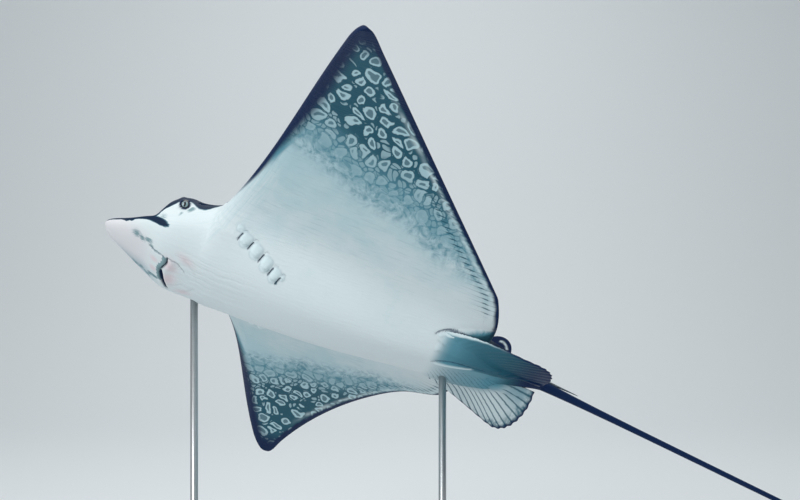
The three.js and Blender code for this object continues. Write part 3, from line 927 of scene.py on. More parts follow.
@dataclass(frozen=True)
class Relief:
    """The fine forms of the body and its markings, laid out in flat shares.

    Attributes:
        form: The smooth form that they lie on.
        mouth: The mouth.
        gills: The gill slits and their flaps.
        eye: The eyes' openings.
        spiracle: The breathing holes.
        cap: Lower border of the dark cap of the head, as rounding, by place aft.
        pattern_start: How far off the middle the spotted ground begins, by place aft.
        band_foot: Outer border of the dark band under the snout, as rounding, by place aft.
        hip_line: How far off the middle the painted shade of the belly's rear ends, by place aft.
        rump_shade: How dark that painted shade is, by place aft, where the belly lies in shadow between
            the wings and the pelvic fins.
        band_top: Inner border of the dark band under the snout, as rounding, by place aft.
        forehead: Places aft of the steep forehead and of the dip behind it.
        teeth: Length of one tooth of the dark rear rim.
        beads: Distance between the pale beads along it.
        ray: Distance between the wings' fin rays.
        folds: Distance between the fine and between the wide wrinkles of the throat.
    """

    form: RayForm = RayForm()
    mouth: Mouth = Mouth()
    gills: Gills = Gills()
    eye: EyeForm = EyeForm()
    spiracle: Spiracle = Spiracle()
    cap: Profile = Profile((
        (0, -0.2), (0.064, -0.2), (0.0705, 0.1), (0.0745, 0.27), (0.08, 0.42), (0.0845, 0.47),
        (0.09, 0.45), (0.096, 0.54), (0.1, 0.51), (0.105, 0.42), (0.11, 0.34), (0.1155, 0.29),
        (0.121, 0.29), (0.13, 0.4), (0.145, 0.46), (0.16, 0.2), (0.18, -0.1), (0.22, -0.2),
    ))
    pattern_start: Profile = Profile((
        (0.14, 0.26), (0.2, 0.243), (0.235, 0.226), (0.265, 0.212), (0.29, 0.19), (0.35, 0.176),
        (0.39, 0.148), (0.44, 0.13), (0.52, 0.1),
    ))
    band_foot: Profile = Profile((
        (0, 0.1), (0.012, 0.05), (0.0215, 0.02), (0.027, 0.16), (0.0315, 0.3), (0.0345, 0.2),
        (0.0385, 0.3), (0.042, 0.16), (0.05, 0.2), (0.06, 0.3), (0.0691, 0.42), (0.0773, 0.5),
        (0.0845, 0.53), (0.0886, 0.5), (0.1, 0.45),
    ))
    hip_line: Profile = Profile((
        (0, 0.046), (0.444, 0.046), (0.4537, 0.0526), (0.4705, 0.056), (0.497, 0.0655), (0.62, 0.1),
    ))
    rump_shade: Profile = Profile((
        (0, 0), (0.442, 0), (0.462, 0.27), (0.49, 0.5), (0.535, 0.64), (0.562, 0.82),
        (0.59, 1), (0.62, 1),
    ))
    band_top: Profile = Profile((
        (0, -0.2), (0.062, -0.2), (0.067, -0.02), (0.0755, 0.14), (0.083, 0.27), (0.087, 0.38),
        (0.0905, 0.5), (0.11, 0.6),
    ))
    forehead: Pair = (0.0705, 0.0835)
    teeth: float = 0.0038
    beads: float = 0.0062
    ray: float = 0.0078
    folds: Pair = (0.0039, 0.0097)

    def creases(self) -> list[Crease]:
        """Return the creases of the head, throat and belly."""
        nose = line((0.0705, 0.0255), (0.076, 0.0222), (0.086, 0.0232), (0.0965, 0.0236))
        cheek = line((0.0965, 0.0236), (0.109, 0.0238), (0.112, 0.0236), (0.1235, 0.0105))
        fold = line((0.118, 0.031), (0.128, 0.026), (0.134, 0.02), (0.139, 0.012))
        return [
            *self.gills.slits(), *self.gills.curls(),
            Crease(nose, 0.0011, 0.0018, ink=0.35),
            Crease(cheek, 0.00095, 0.0014, ink=0.45, lip=0.0003, halves=(Hand.LEFT,)),
            Crease(cheek, 0.00095, 0.0006, ink=0.08, halves=(Hand.RIGHT,)),
            Crease(fold, 0.0016, 0.0006, ink=0.06),
            *self.hip_creases(),
        ]

    def hip_creases(self) -> list[Crease]:
        """Return the creases where the left pelvic fin leaves the belly."""
        hip = line((0.441, 0.044), (0.45, 0.0535), (0.462, 0.0545), (0.48, 0.0575))
        vent = line((0.4512, 0.0075), (0.47, 0.0195), (0.492, 0.0135), (0.53, 0.0185))
        return [
            Crease(hip, 0.0012, 0.0014, ink=0.75, halves=(Hand.LEFT,)),
            Crease(vent, 0.0011, 0.0016, ink=0.6, halves=(Hand.LEFT,)),
        ]

    def crests(self) -> list[Crease]:
        """Return the pale crests beside those creases, their ink being how pale they are."""
        hip = line((0.446, 0.0435), (0.455, 0.0505), (0.464, 0.0515), (0.48, 0.0535))
        vent = line((0.4545, 0.006), (0.47, 0.0075), (0.487, 0.0075), (0.506, 0.0125))
        return [
            Crease(hip, 0.0019, -0.0014, ink=0.9, halves=(Hand.LEFT,)),
            Crease(vent, 0.0024, -0.0016, ink=0.75, halves=(Hand.LEFT,)),
        ]

    def wrinkles(self, x: Array, y: Array) -> Array:
        """Return the height of the fine lengthwise wrinkles of the throat."""
        where = ramp(x, 0.098, 0.118) * ramp(x, 0.25, 0.17) * ramp(np.abs(y), 0.052, 0.03)
        drift = 0.0012 * np.sin(x * 61 + 1.3) + 0.0004 * np.sin(x * 231 + y * 90)
        fine = np.abs(np.sin((y + drift) * math.pi / self.folds[0]))
        wide = np.abs(np.sin((y + drift * 1.7 + 0.0013) * math.pi / self.folds[1]))
        uneven = 0.6 + 0.4 * np.sin(x * 160 + y * 310)
        return -where * (0.0005 * (1 - fine) ** 2 * uneven + 0.0007 * (1 - wide) ** 3)

    def belly(self, x: Array, y: Array) -> Array:
        """Return how far the belly stands out at flat places x, y."""
        total = self.mouth.relief(x, y) + self.wrinkles(x, y)
        for part in (*self.creases(), *self.crests(), *self.gills.flaps(), *self.gills.hollows()):
            total = total + part.relief(x, y)
        return total

    def back(self, x: Array, y: Array) -> Array:
        """Return how far the back stands out at flat places x, y: a steep forehead, a low crown."""
        brow = ramp(np.abs(y), 0.085, 0.05)
        step, dip = self.forehead
        return brow * (0.0095 * bell(x, step, 0.0034) - 0.0024 * bell(x, dip, 0.0075))

    def edges(self, x: Array, y: Array) -> tuple[Array, Array]:
        """Return how far the leading and trailing edges are from flat places x, y."""
        off = np.abs(y)
        front, rear = ROOT_FRONT[1], ROOT_REAR[1]
        lead = x - self.form.leading_edge.crossing(np.maximum(off, front))
        trail = self.form.trailing_edge.crossing(np.maximum(off, rear)) - x
        return lead + FAR * (off < front), trail + FAR * (off < rear)

    def shaped(self, points: Array) -> Array:
        """Return points of the head's skin in the ray's frame, with its hollows."""
        return self.eye.socket(self.spiracle.hollow(points))

    def coat(self, side: Side, spot: Spot, points: Array) -> Coat:
        """Return the coat of one face of the body at the given places and points."""
        flat = np.stack([spot.x, spot.y, side.value * spot.rounding], axis=-1)
        out = np.abs(spot.y)
        lead, trail = self.edges(spot.x, spot.y)
        serration = 0.0007 * np.sin(out * FULL_TURN / self.teeth)
        rim = mix(0.0042, 0.0085, ramp(out, 0.14, 0.42)) + serration
        rear = ramp(trail, rim + 0.0035, rim - 0.0015) * ramp(out, 0.04, 0.08)
        band = 0.0005 + 0.006 * ramp(out, 0.11, 0.2) + 0.0145 * ramp(out, 0.22, 0.36)
        front = ramp(lead, 1.2 * band, 0.45 * band) * ramp(out, 0.1, 0.17)
        tip = ramp(out, 0.44, 0.482)
        margins = np.maximum.reduce([rear, front, tip])
        if side is Side.BACK:
            return self._back_coat(spot, points, flat, margins)
        soft = 0.6 * ramp(lead, 2.2 * band, band) * ramp(out, 0.17, 0.26)
        return self._belly_coat(spot, flat, margins, soft, rim, trail)

    def _belly_coat(
        self, spot: Spot, flat: Array, margins: Array, soft: Array, rim: Array, trail: Array
    ) -> Coat:
        """Return the coat of the belly.

        Args:
            spot: Flat places.
            flat: Those places with their face.
            margins: How dark the wings' margins are drawn.
            soft: Shading behind the margin of the leading edge.
            rim: How wide the dark rim of the trailing edge is.
            trail: Distances from the trailing edge.
        """
        x, y, out = spot.x, spot.y, np.abs(spot.y)
        past = out - self.pattern_start(x)
        lobe = self._lobe(spot)
        dark = ramp(past, -0.025, 0.13)
        along_rear = ramp(out, 0.068, 0.105)
        inset = mix(0.0125, 0.021, ramp(out, 0.12, 0.2))
        strokes = 0.8 * bell(trail, rim + inset, 0.0064) * along_rear * ramp(out, 0.31, 0.22)
        rays = 0.42 * ramp(trail, 0.055, 0.015) * along_rear * ramp(out, 0.26, 0.14)
        waxing = 0.6 + 0.4 * np.cos(out * FULL_TURN / self.beads)
        beads = 0.75 * (bell(trail, rim + 0.0055, 0.0036) * waxing)
        beads = beads * along_rear * ramp(out, 0.42, 0.34)
        # Painted shade: the belly darkens to teal and near black in the shadowed gap between the wings
        # and the pelvic fins, more on the left half.
        left = np.maximum(ramp(-y, 0.007, 0.012), ramp(x, 0.52, 0.58))
        rump_shade = self.rump_shade(x) * ramp(out - self.hip_line(x), 0.004, -0.005) * mix(0.5, 1, left)
        # Painted shade: grey-blue on the right half of the snout's underside, which faces away from the
        # light.
        cheek = 0.16 * ramp(y, -0.004, 0.03) * ramp(x, 0.1, 0.06) * ramp(x, 0.0, 0.03)
        speckled = 0.55 * bell(x, 0.0765, 0.006) * ramp(spot.rounding, 0.27, 0.1)
        flaps = np.maximum.reduce([pad.share(x, y) for pad in self.gills.flaps()])
        # Painted shadow: a faint teal ring round each gill flap.
        beside = 0.09 * ramp(flaps, 0.02, 0.2) * ramp(flaps, 0.7, 0.3)
        crests = [crest.drawn(x, y) for crest in self.crests()]
        creases = [crease.drawn(x, y) for crease in self.creases()]
        return plain_coat(
            flat,
            dark=np.maximum(dark, lobe),
            back=lobe,
            rings=dark * (1 - lobe),
            size=1 - ramp(past, 0.025, 0.165),
            line=np.maximum.reduce([margins, self.mouth.drawn(x, y), *creases]),
            blush=self.blush(x, out),
            shade=np.maximum.reduce([self.patches(x, y), self.mouth.curtain(x, y), speckled]),
            rays=np.maximum(rays, strokes),
            ray=out / self.ray,
            tint=np.maximum.reduce([soft, rump_shade, cheek, beside, 0.12 * strokes]),
            pale=np.maximum.reduce([beads, 0.9 * ramp(flaps, 0.2, 0.6), *crests]),
        )

    def _lobe(self, spot: Spot) -> Array:
        """Return the share of the dark band along the rim of the snout, under the head."""
        x, rounding = spot.x, spot.rounding
        low, high = self.band_foot(x), self.band_top(x)
        band = ramp(rounding, low + 0.03, low - 0.03) * ramp(rounding, high - 0.03, high + 0.03)
        return band * (ramp(x, 0.006, 0.02) * ramp(x, 0.092, 0.088))

    def _back_coat(self, spot: Spot, points: Array, flat: Array, margins: Array) -> Coat:
        """Return the coat of the back at the given places, with its margins given."""
        x, out = spot.x, np.abs(spot.y)
        rise = self.cap(x)
        dark = ramp(spot.rounding, rise - 0.025, rise + 0.035)
        speckled = 0.5 * bell(x, 0.0765, 0.0055) * ramp(spot.rounding, 0.16, 0.02)
        smudges = [
            bell(x, 0.1025, 0.0042) * bell(spot.rounding, 0.29, 0.1),
            0.7 * bell(x, 0.0945, 0.0024) * bell(spot.rounding, 0.12, 0.065),
            speckled,
        ]
        inked = np.maximum.reduce([margins, self.eye.rim(points), self.spiracle.drawn(points)])
        return plain_coat(
            flat,
            dark=dark,
            back=dark,
            rings=dark * (1 - inked) * ramp(x, 0.15, 0.19),
            size=0.9 * ramp(out, 0.3, 0.08),
            line=inked,
            shade=np.maximum.reduce(smudges),
        )

    def blush(self, x: Array, out: Array) -> Array:
        """Return how pink the snout, chin and cheeks are at places on the belly."""
        snout = 0.34 * ramp(x, 0.09, 0.05) * ramp(out, 0.05, 0.02)
        chin = 0.75 * Pad((0.103, 0.013), (0.009, 0.013), 20, 1).share(x, out)
        cheek = 0.55 * Pad((0.122, 0.031), (0.012, 0.006), -25, 1).share(x, out)
        pad = 0.7 * Pad((0.08, 0.0095), (0.006, 0.005), 0, 1).share(x, out)
        return np.maximum.reduce([snout, chin, cheek, pad])

    def patches(self, x: Array, y: Array) -> Array:
        """Return how grey-green the skin in front of the nostrils is at flat places x, y, with painted
        shadow in the hollows in front of the gill slits and a dark mark behind the last slit.
        """
        pads = (
            Pad((0.069, 0.0315), (0.0075, 0.0036), 20, 1, 3),
            Pad((0.0505, 0.0285), (0.0074, 0.0056), 30, 1, 2),
            Pad((0.0595, 0.0275), (0.0055, 0.0045), -20, 0.7, 2),
            Pad((0.081, 0.0245), (0.009, 0.0026), 0, 1, 3),
            Pad((0.0745, 0.0265), (0.006, 0.0034), -35, 0.9, 2),
        )
        last_x, last_y = self.gills.middles[-1]
        behind = Pad((last_x - 0.0012, last_y - 0.0038), (0.0018, 0.0016), 0, 1)
        marks = [0.75 * pad.share(x, y) for pad in pads]
        # Painted shadow in the hollow in front of each slit but the first.
        marks += [0.4 * pad.share(x, y) for pad in self.gills.hollows()]
        return np.maximum.reduce([*marks, 1.2 * behind.share(x, y)])


# ------------------------------------------------------------------ meshes
def new_object(name: str, mesh: bpy.types.Mesh) -> bpy.types.Object:
    """Return a new object of the mesh, linked to the scene."""
    made = bpy.data.objects.new(name, mesh)
    bpy.context.scene.collection.objects.link(made)
    return made


def finish_mesh(name: str, bm: bmesh.types.BMesh, smooth: bool = True) -> bpy.types.Mesh:
    """Close a bmesh's seams and gaps, turn its faces outwards and return it as a mesh.

    Args:
        name: The mesh's name.
        bm: What the mesh is made from; it is freed.
        smooth: Whether its faces are shaded smooth.

    Returns:
        The new mesh.
    """
    bmesh.ops.remove_doubles(bm, verts=bm.verts, dist=WELD)
    rims = [edge for edge in bm.edges if edge.is_boundary]
    bmesh.ops.holes_fill(bm, edges=rims, sides=0)
    bmesh.ops.recalc_face_normals(bm, faces=bm.faces)
    for face in bm.faces:
        face.smooth = smooth
    mesh = bpy.data.meshes.new(name)
    bm.to_mesh(mesh)
    bm.free()
    return mesh


def grid_bmesh(columns: int, rows: int) -> bmesh.types.BMesh:
    """Return a flat grid over the unit square, with the given numbers of faces."""
    bm = bmesh.new()
    middle = Matrix.Translation((0.5, 0.5, 0))
    bmesh.ops.create_grid(bm, x_segments=columns, y_segments=rows, size=0.5, matrix=middle)
    return bm


def grid_places(bm: bmesh.types.BMesh) -> tuple[Array, Array]:
    """Return the u and v of each vertex of a grid over the unit square."""
    uv = np.array([vert.co[:2] for vert in bm.verts])
    return clamp01(uv[:, 0]), clamp01(uv[:, 1])


@dataclass(frozen=True)
class FineArea:
    """A part of one face of the body that carries small features, so its mesh is finer.

    Attributes:
        side: Back or belly.
        x: From and to, aft of the snout.
        y: From and to, off the middle, on both halves.
        step: Longest edge that is left there, in shares.
    """

    side: Side
    x: Pair
    y: Pair
    step: float

    def too_long(self, middle: Array, length: Array) -> Array:
        """Return which edges are to be halved, from their middles and lengths."""
        inside = (middle[:, 0] > self.x[0]) & (middle[:, 0] < self.x[1])
        off = np.abs(middle[:, 1])
        return inside & (off > self.y[0]) & (off < self.y[1]) & (length > self.step)


FINE_AREAS = (
    FineArea(Side.BACK, (0.065, 0.125), (0.033, 0.075), 0.0012),
    FineArea(Side.BELLY, (0.05, 0.15), (0.0, 0.045), 0.0013),
    FineArea(Side.BELLY, (0.167, 0.247), (0.04, 0.098), 0.00135),
    FineArea(Side.BELLY, (0.15, 0.215), (0.0, 0.046), 0.0019),
    FineArea(Side.BELLY, (0.43, 0.6), (0.0, 0.075), 0.0026),
    FineArea(Side.BELLY, (0.437, 0.486), (0.042, 0.06), 0.0016),
    FineArea(Side.BELLY, (0.37, 0.54), (0.1, 0.45), 0.0062),
)


BODY_CORNERS = {Side.BELLY: (0.38, 0.01), Side.BACK: (0.38, 0.5)}
FIN_CORNER = (0.76, 0.02)
TAIL_CORNER = (0.955, 0.015)
TAIL_CHART = (0.045, 0.97)  # breadth of the tail on the map, and share of its length
FIN_ROW = 0.1  # height on the map, in shares, of the row that one face of a fin has to itself
FIN_START = 0.44  # place aft that lies on the left border of those rows


@dataclass(frozen=True)
class UvFrame:
    """Where a sheet goes on the one map that every part of the skin shares.

    Attributes:
        corner: Lower left corner on the map.
        scale: Map units for one share of the disc width.
    """

    corner: Pair
    scale: float = 0.72

    def store(self, mesh: bpy.types.Mesh, across: Array, up: Array) -> None:
        """Write the map of a mesh whose vertices have the given places, in shares."""
        layer = mesh.uv_layers.new(name="OFBake")
        index = np.zeros(len(mesh.loops), dtype=np.int32)
        mesh.loops.foreach_get("vertex_index", index)
        places = np.stack([across, up], axis=-1) * self.scale + np.array(self.corner)
        layer.data.foreach_set("uv", places[index].astype(np.float32).ravel())


# ------------------------------------------------------------------ tail, fins and stings
@dataclass(frozen=True)
class TailLine:
    """The middle line of the tail, which lifts and turns as it goes, and its thickness.

    Attributes:
        pose: How the animal lies in the room.
        start: How far aft of the snout it begins.
        height: Height of its start.
        length: Its length.
        straight: How far along it stays straight.
        lift_length: Length over which it then lifts and turns.
        lift: How far it lifts.
        turn: How far it turns, to the ray's left.
        drop: How far its first part points down.
        sideways: How far its first part points to the right.
        thin: Its radius at start and tip, without the swelling.
        swelling: How much thicker it is at its start.
        swelling_length: Length over which that falls to a third.
        round_root: Share of the way along that its root is rounded to.
        round_tip: Share of the way along that its tip is rounded from.
        steps: Number of steps along it.
    """

    pose: Pose = Pose()
    start: float = 0.59
    height: float = 0.005
    length: float = 1.38
    straight: float = 0.4
    lift_length: float = 0.42
    lift: float = math.radians(30)
    turn: float = math.radians(38)
    drop: float = math.radians(3.2)
    sideways: float = math.radians(1.2)
    thin: Pair = (0.004, 0.0011)
    swelling: float = 0.0036
    swelling_length: float = 0.06
    round_root: float = 0.004
    round_tip: float = 0.995
    steps: int = 192

    def points(self) -> Array:
        """Return points down the middle of the tail, in shares, in the ray's frame."""
        to_room = self.pose.turn()
        first = to_room @ np.array([1, math.tan(self.sideways), -math.tan(self.drop)])
        first /= np.linalg.norm(first)
        step = self.length / self.steps
        gone = (np.arange(self.steps) + 0.5) * step
        eased = ramp(gone, self.straight, self.straight + self.lift_length)
        level = math.asin(first[2]) + self.lift * eased
        turned = math.atan2(first[1], first[0]) + self.turn * eased
        ways = np.stack([np.cos(turned), np.sin(turned), np.tan(level)], axis=-1) @ to_room
        ways /= np.linalg.norm(ways, axis=1, keepdims=True)
        start = np.array([self.start, 0, self.height])
        return np.concatenate([[start], start + np.cumsum(ways * step, axis=0)])

    def radius(self, t: Array) -> Array:
        """Return the radius a share t of the way along, in shares."""
        swelling = self.swelling * np.exp(-t * self.length / self.swelling_length)
        return mix(*self.thin, t) + swelling


def swept(line: Array, radii: Array, around: Array, along: Array) -> Array:
    """Return places on a tube round a line.

    Args:
        line: Points of the line, evenly spread, one in a row.
        radii: Radius at each place asked for.
        around: Angles about the line, 0 to the right, in radians.
        along: Shares of the way along the line.

    Returns:
        The places, one in a row.
    """
    ways = np.gradient(line, axis=0)
    right = np.cross([0, 0, 1], ways)
    right /= np.linalg.norm(right, axis=1, keepdims=True)
    up = np.cross(ways, right)
    up /= np.linalg.norm(up, axis=1, keepdims=True)
    marks = np.linspace(0, 1, len(line))

    def at(values: Array) -> Array:
        """Return the rows of values at the shares asked for."""
        return np.stack([np.interp(along, marks, values[:, k]) for k in range(3)], axis=-1)

    ring = np.cos(around)[:, None] * at(right) + np.sin(around)[:, None] * at(up)
    return at(line) + ring * radii[:, None]


@dataclass(frozen=True)
class FinForm:
    """A fin whose rays run from a root curve to a margin curve.

    Attributes:
        root: Root curve.
        margin: Margin curve.
        half_thickness: At root and margin.
        rays: How many rays it has.
        ray_relief: How far the rays stand out at the margin.
        scallop: How far each ray's end stands proud of the margin.
        sides: Share across the fin that its round front and rear edges take up.
        ends: Share along its rays that its round root and margin take up.
        mesh: Places across and along it that a point is looked up among.
    """

    root: Chain
    margin: Chain
    half_thickness: Pair
    rays: int = 16
    ray_relief: float = 0.0005
    scallop: float = 0.0
    sides: float = 0.12
    ends: float = 0.04
    mesh: tuple[int, int] = (99, 69)

    def outline(self, u: Array, v: Array) -> tuple[Array, Array, Array, Array]:
        """Return the two flat coordinates, the half depth and the share along each ray."""
        along = np.sin(v * math.pi / 2)
        a, b = self.root(u), self.margin(u)
        wave = np.cos(FULL_TURN * self.rays * u)
        reach = along - self.scallop * ramp(along, 0.8, 1) * ramp(u, 0.3, 0.55) * (1 - wave) / 2
        sides = round_edge(u, self.sides) * round_edge(1 - u, self.sides)
        ends = round_edge(along, self.ends) * round_edge(1 - along, self.ends)
        ridge = self.ray_relief * (wave - 1) / 2 * ramp(along, 0.15, 0.6)
        depth = (mix(*self.half_thickness, along) + ridge) * sides * ends
        return mix(a[0], b[0], reach), mix(a[1], b[1], reach), depth, along

    def ray_place(self, across: Array) -> Array:
        """Return the place across the rays, one apart, of shares across the fin."""
        return across * self.rays - 0.25

    def locate(self, x: Array, y: Array) -> tuple[Array, Array, Array]:
        """Return where flat points lie on the fin, with its rays drawn on inwards past the root.

        Args:
            x: First flat coordinates.
            y: Second flat coordinates.

        Returns:
            The shares across the fin and along its rays, and the half depth there.
        """
        columns, rows = self.mesh
        grid = np.meshgrid(np.linspace(0.01, 0.99, columns), np.linspace(-0.7, 1, rows))
        across, reach = (values.ravel() for values in grid)
        a, b = self.root(across), self.margin(across)
        tree = KDTree(len(across))
        for i, place in enumerate(zip(mix(a[0], b[0], reach), mix(a[1], b[1], reach))):
            tree.insert((*place, 0), i)
        tree.balance()
        nearest = np.array([tree.find((*place, 0))[1] for place in zip(x, y)])
        depth = mix(*self.half_thickness, clamp01(reach[nearest]))
        return across[nearest], reach[nearest], depth


PELVIC_FORM = FinForm(
    Chain(((0.445, 0.03), (0.478, 0.022), (0.512, 0.012), (0.545, 0.005))),
    Chain((
        (0.452, 0.052), (0.48, 0.064), (0.528, 0.074), (0.566, 0.083),
        (0.595, 0.09), (0.606, 0.045), (0.597, 0.007),
    )),
    (0.0048, 0.0011),
    rays=17,
    scallop=0.018,
)
DORSAL_FORM = FinForm(
    Chain(((0.5, 0.005), (0.51, 0.005), (0.525, 0.005), (0.54, 0.005))),
    Chain(((0.518, 0.042), (0.53, 0.06), (0.56, 0.059), (0.55, 0.02))),
    (0.0026, 0.0009),
    rays=10,
    ray_relief=0.0,
)


@dataclass(frozen=True)
class PelvicStand:
    """How the pelvic fins stand: flat at the front and drooping at the rear.

    Attributes:
        height: Height of their middle plane at front and rear.
        droop: How steeply they fall outwards at the rear.
        twist_from: Place aft where they begin to droop.
        twist_to: Place aft where the droop is complete.
    """

    height: Pair = (-0.014, -0.003)
    droop: float = 0.35
    twist_from: float = 0.46
    twist_to: float = 0.58

    def place(self, x: Array, y: Array, depth: Array, hand: Hand) -> Array:
        """Return the places of flat points x, y at the given depth, in the ray's frame."""
        twist = ramp(x, self.twist_from, self.twist_to)
        z = mix(*self.height, twist) - self.droop * twist * y + depth
        return np.stack([x, hand.value * y, z], axis=-1)


PELVIC_X = (0.435, 0.56)  # from and to, aft: where the belly runs into the pelvic fins
PELVIC_Y = 0.085  # how far off the middle that goes


# ------------------------------------------------------------------ the skin
@dataclass
class Skin:
    """All the flesh of the ray, as one mesh.

    Attributes:
        form: The smooth form.
        relief: The fine forms and the markings.
        fine: Where the mesh is finer.
        strip_columns: Faces across the head and trunk, on each face of the body.
        head_rows: Faces along the head.
        chord_rows: Faces along the trunk and wings.
        root_rows: Faces along the start of the tail.
        wing_columns: Faces from a wing's root to its tip.
        tail_grid: Faces round and along the tail.
        fin_grid: Faces across and along a pelvic fin.
        dorsal_grid: Faces across and along the dorsal fin.
        blend: How softly the belly runs into the pelvic fins, in shares.
        tail: The tail's middle line.
        halvings: How often the grid is halved in the fine areas, at most.
    """

    form: RayForm
    relief: Relief
    fine: Sequence[FineArea] = ()
    strip_columns: int = 84
    head_rows: int = 70
    chord_rows: int = 80
    root_rows: int = 12
    wing_columns: int = 60
    tail_grid: tuple[int, int] = (18, 104)
    fin_grid: tuple[int, int] = (116, 12)
    dorsal_grid: tuple[int, int] = (84, 22)
    blend: float = 0.011
    tail: TailLine = TailLine()
    halvings: int = 3

    def _refine(self, bm: bmesh.types.BMesh, flat: Callable[..., Spot], side: Side) -> None:
        """Halve the long edges of a sheet's grid in the fine areas.

        The edges on a sheet's border are halved for the areas of both faces, so that the
        sheets on its two sides still meet point by point.

        Args:
            bm: The sheet's grid.
            flat: What lays its u and v out as flat places.
            side: The face of the body that it belongs to.
        """
        for _ in range(self.halvings):
            u, v = grid_places(bm)
            spot = flat(u, v)
            places = np.stack([spot.x, spot.y], axis=-1)
            bm.verts.index_update()
            pairs = np.array([[vert.index for vert in edge.verts] for edge in bm.edges])
            ends = places[pairs]
            borders = [u < CLOSE, u > 1 - CLOSE, v < CLOSE, v > 1 - CLOSE]
            shared = np.any([border[pairs].all(axis=1) for border in borders], axis=0)
            middle = ends.mean(axis=1)
            length = np.linalg.norm(ends[:, 1] - ends[:, 0], axis=1)
            cut = np.zeros(len(length), dtype=bool)
            for area in self.fine:
                cut |= area.too_long(middle, length) & (shared | (area.side is side))
            if not cut.any():
                return
            edges = [edge for edge, long in zip(bm.edges, cut) if long]
            bmesh.ops.subdivide_edges(bm, edges=edges, cuts=1, use_grid_fill=True)

    def _add(
        self, whole: bmesh.types.BMesh, bm: bmesh.types.BMesh, places: Array, coat: Coat,
        frame: UvFrame, chart: tuple[Array, Array],
    ) -> None:
        """Add one sheet to the whole skin.

        Args:
            whole: The skin so far.
            bm: The sheet's grid; it is freed.
            places: Where each vertex goes in the ray's frame, in shares.
            coat: The sheet's coat.
            frame: Where the sheet goes on the map.
            chart: Its two coordinates on the map, in shares.
        """
        mesh = bpy.data.meshes.new("sheet")
        bm.to_mesh(mesh)
        bm.free()
        low, high = (np.array(corner) for corner in CAD_BOX)
        write_places(mesh, np.clip(self.form.pose.to_room(places), low + INSET, high - INSET))
        coat.store(mesh)
        frame.store(mesh, *chart)
        whole.from_mesh(mesh)
        bpy.data.meshes.remove(mesh)

    def _body(self, whole: bmesh.types.BMesh) -> None:
        """Add the two faces of the body, from snout to tail root and out to the wing tips."""
        layout = Layout(self.form)
        sheets = [
            (layout.head, self.strip_columns, self.head_rows),
            (layout.trunk, self.strip_columns, self.chord_rows),
            (layout.tail_root, self.strip_columns, self.root_rows),
        ]
        for hand in Hand:
            sheets.append((partial(layout.wing, hand=hand), self.wing_columns, self.chord_rows))
        for side in Side:
            for flat, columns, rows in sheets:
                bm = grid_bmesh(columns, rows)
                self._refine(bm, flat, side)
                spot = flat(*grid_places(bm))
                z = self.form.height(spot.x, spot.y, side, spot.rounding, spot.chord)
                extra = self.relief.belly if side is Side.BELLY else self.relief.back
                z = z + side.value * extra(spot.x, spot.y) * round_edge(spot.rounding, 0.5)
                places = self.relief.shaped(self.form.bend(spot.x, spot.y, z))
                coat = self.relief.coat(side, spot, places)
                if side is Side.BELLY:
                    self._join_pelvic(spot, places, coat)
                self._add(whole, bm, places, coat, UvFrame(BODY_CORNERS[side]), (spot.y, spot.x))

    def _filled(self, gap: Array) -> Array:
        """Return how far to lower a surface for a soft corner with another, that gap above it."""
        gap = np.maximum(gap, 0)
        return (gap - np.hypot(gap, self.blend)) / 2

    def _belly_height(self, x: Array, out: Array) -> Array:
        """Return the height of the belly near the pelvic fins, in the ray's frame."""
        front = ROOT_FRONT[0]
        rear = self.form.trailing_edge.crossing(np.maximum(out, ROOT_REAR[1]))
        chord = clamp01((x - front) / (rear - front))
        rounding = round_edge(1 - chord, self.form.tail)
        z = self.form.height(x, out, Side.BELLY, rounding, chord)
        return self.form.bend(x, out, z)[:, 2]

    def _join_pelvic(self, spot: Spot, places: Array, coat: Coat) -> None:
        """Let a sheet of the belly run smoothly over into the pelvic fins.

        Args:
            spot: The sheet's flat places.
            places: Its points in the ray's frame, which are changed.
            coat: Its coat, which is changed.
        """
        out = np.abs(spot.y)
        front, rear = PELVIC_X
        near = np.flatnonzero((spot.x > front) & (spot.x < rear) & (out < PELVIC_Y))
        if not near.size:
            return
        x, y, out = spot.x[near], spot.y[near], out[near]
        across, reach, depth = PELVIC_FORM.locate(x, out)
        under = PelvicStand().place(x, out, -depth, Hand.RIGHT)[:, 2]
        inside = ramp(reach, -0.1, 0.12) * ramp(reach, 1.0, 0.9) * ramp(across, 0.01, 0.08)
        inside *= ramp(self.relief.edges(x, out)[1], 0.0, 0.02)
        inside *= ramp(x, rear, 0.53)
        places[near, 2] += inside * self._filled(under - places[near, 2])
        fan = ramp(reach, -0.6, -0.1) * ramp(across, 0.03, 0.12) * (y > 0)
        coat.rays[near] = np.maximum(coat.rays[near], 0.45 * fan * ramp(x, 0.44, 0.47))
        coat.ray[near] = PELVIC_FORM.ray_place(across)

    def _tail(self, whole: bmesh.types.BMesh) -> None:
        """Add the tail, with a rounded tip."""
        bm = grid_bmesh(*self.tail_grid)
        u, v = grid_places(bm)
        tip = np.sqrt(1 - ramp(v, self.tail.round_tip, 1.0) ** 2)
        radii = self.tail.radius(v) * tip * round_edge(v, self.tail.round_root)
        places = swept(self.tail.points(), radii, (u - 0.25) * FULL_TURN, v)
        ones = np.ones_like(u)
        flat = np.stack([self.tail.start + v * self.tail.length, radii, ones], -1)
        coat = plain_coat(flat, dark=ones, back=ones, line=0.85 * ones)
        chart = ((u - 0.5) * TAIL_CHART[0], v * self.tail.length * TAIL_CHART[1])
        self._add(whole, bm, places, coat, UvFrame(TAIL_CORNER), chart)

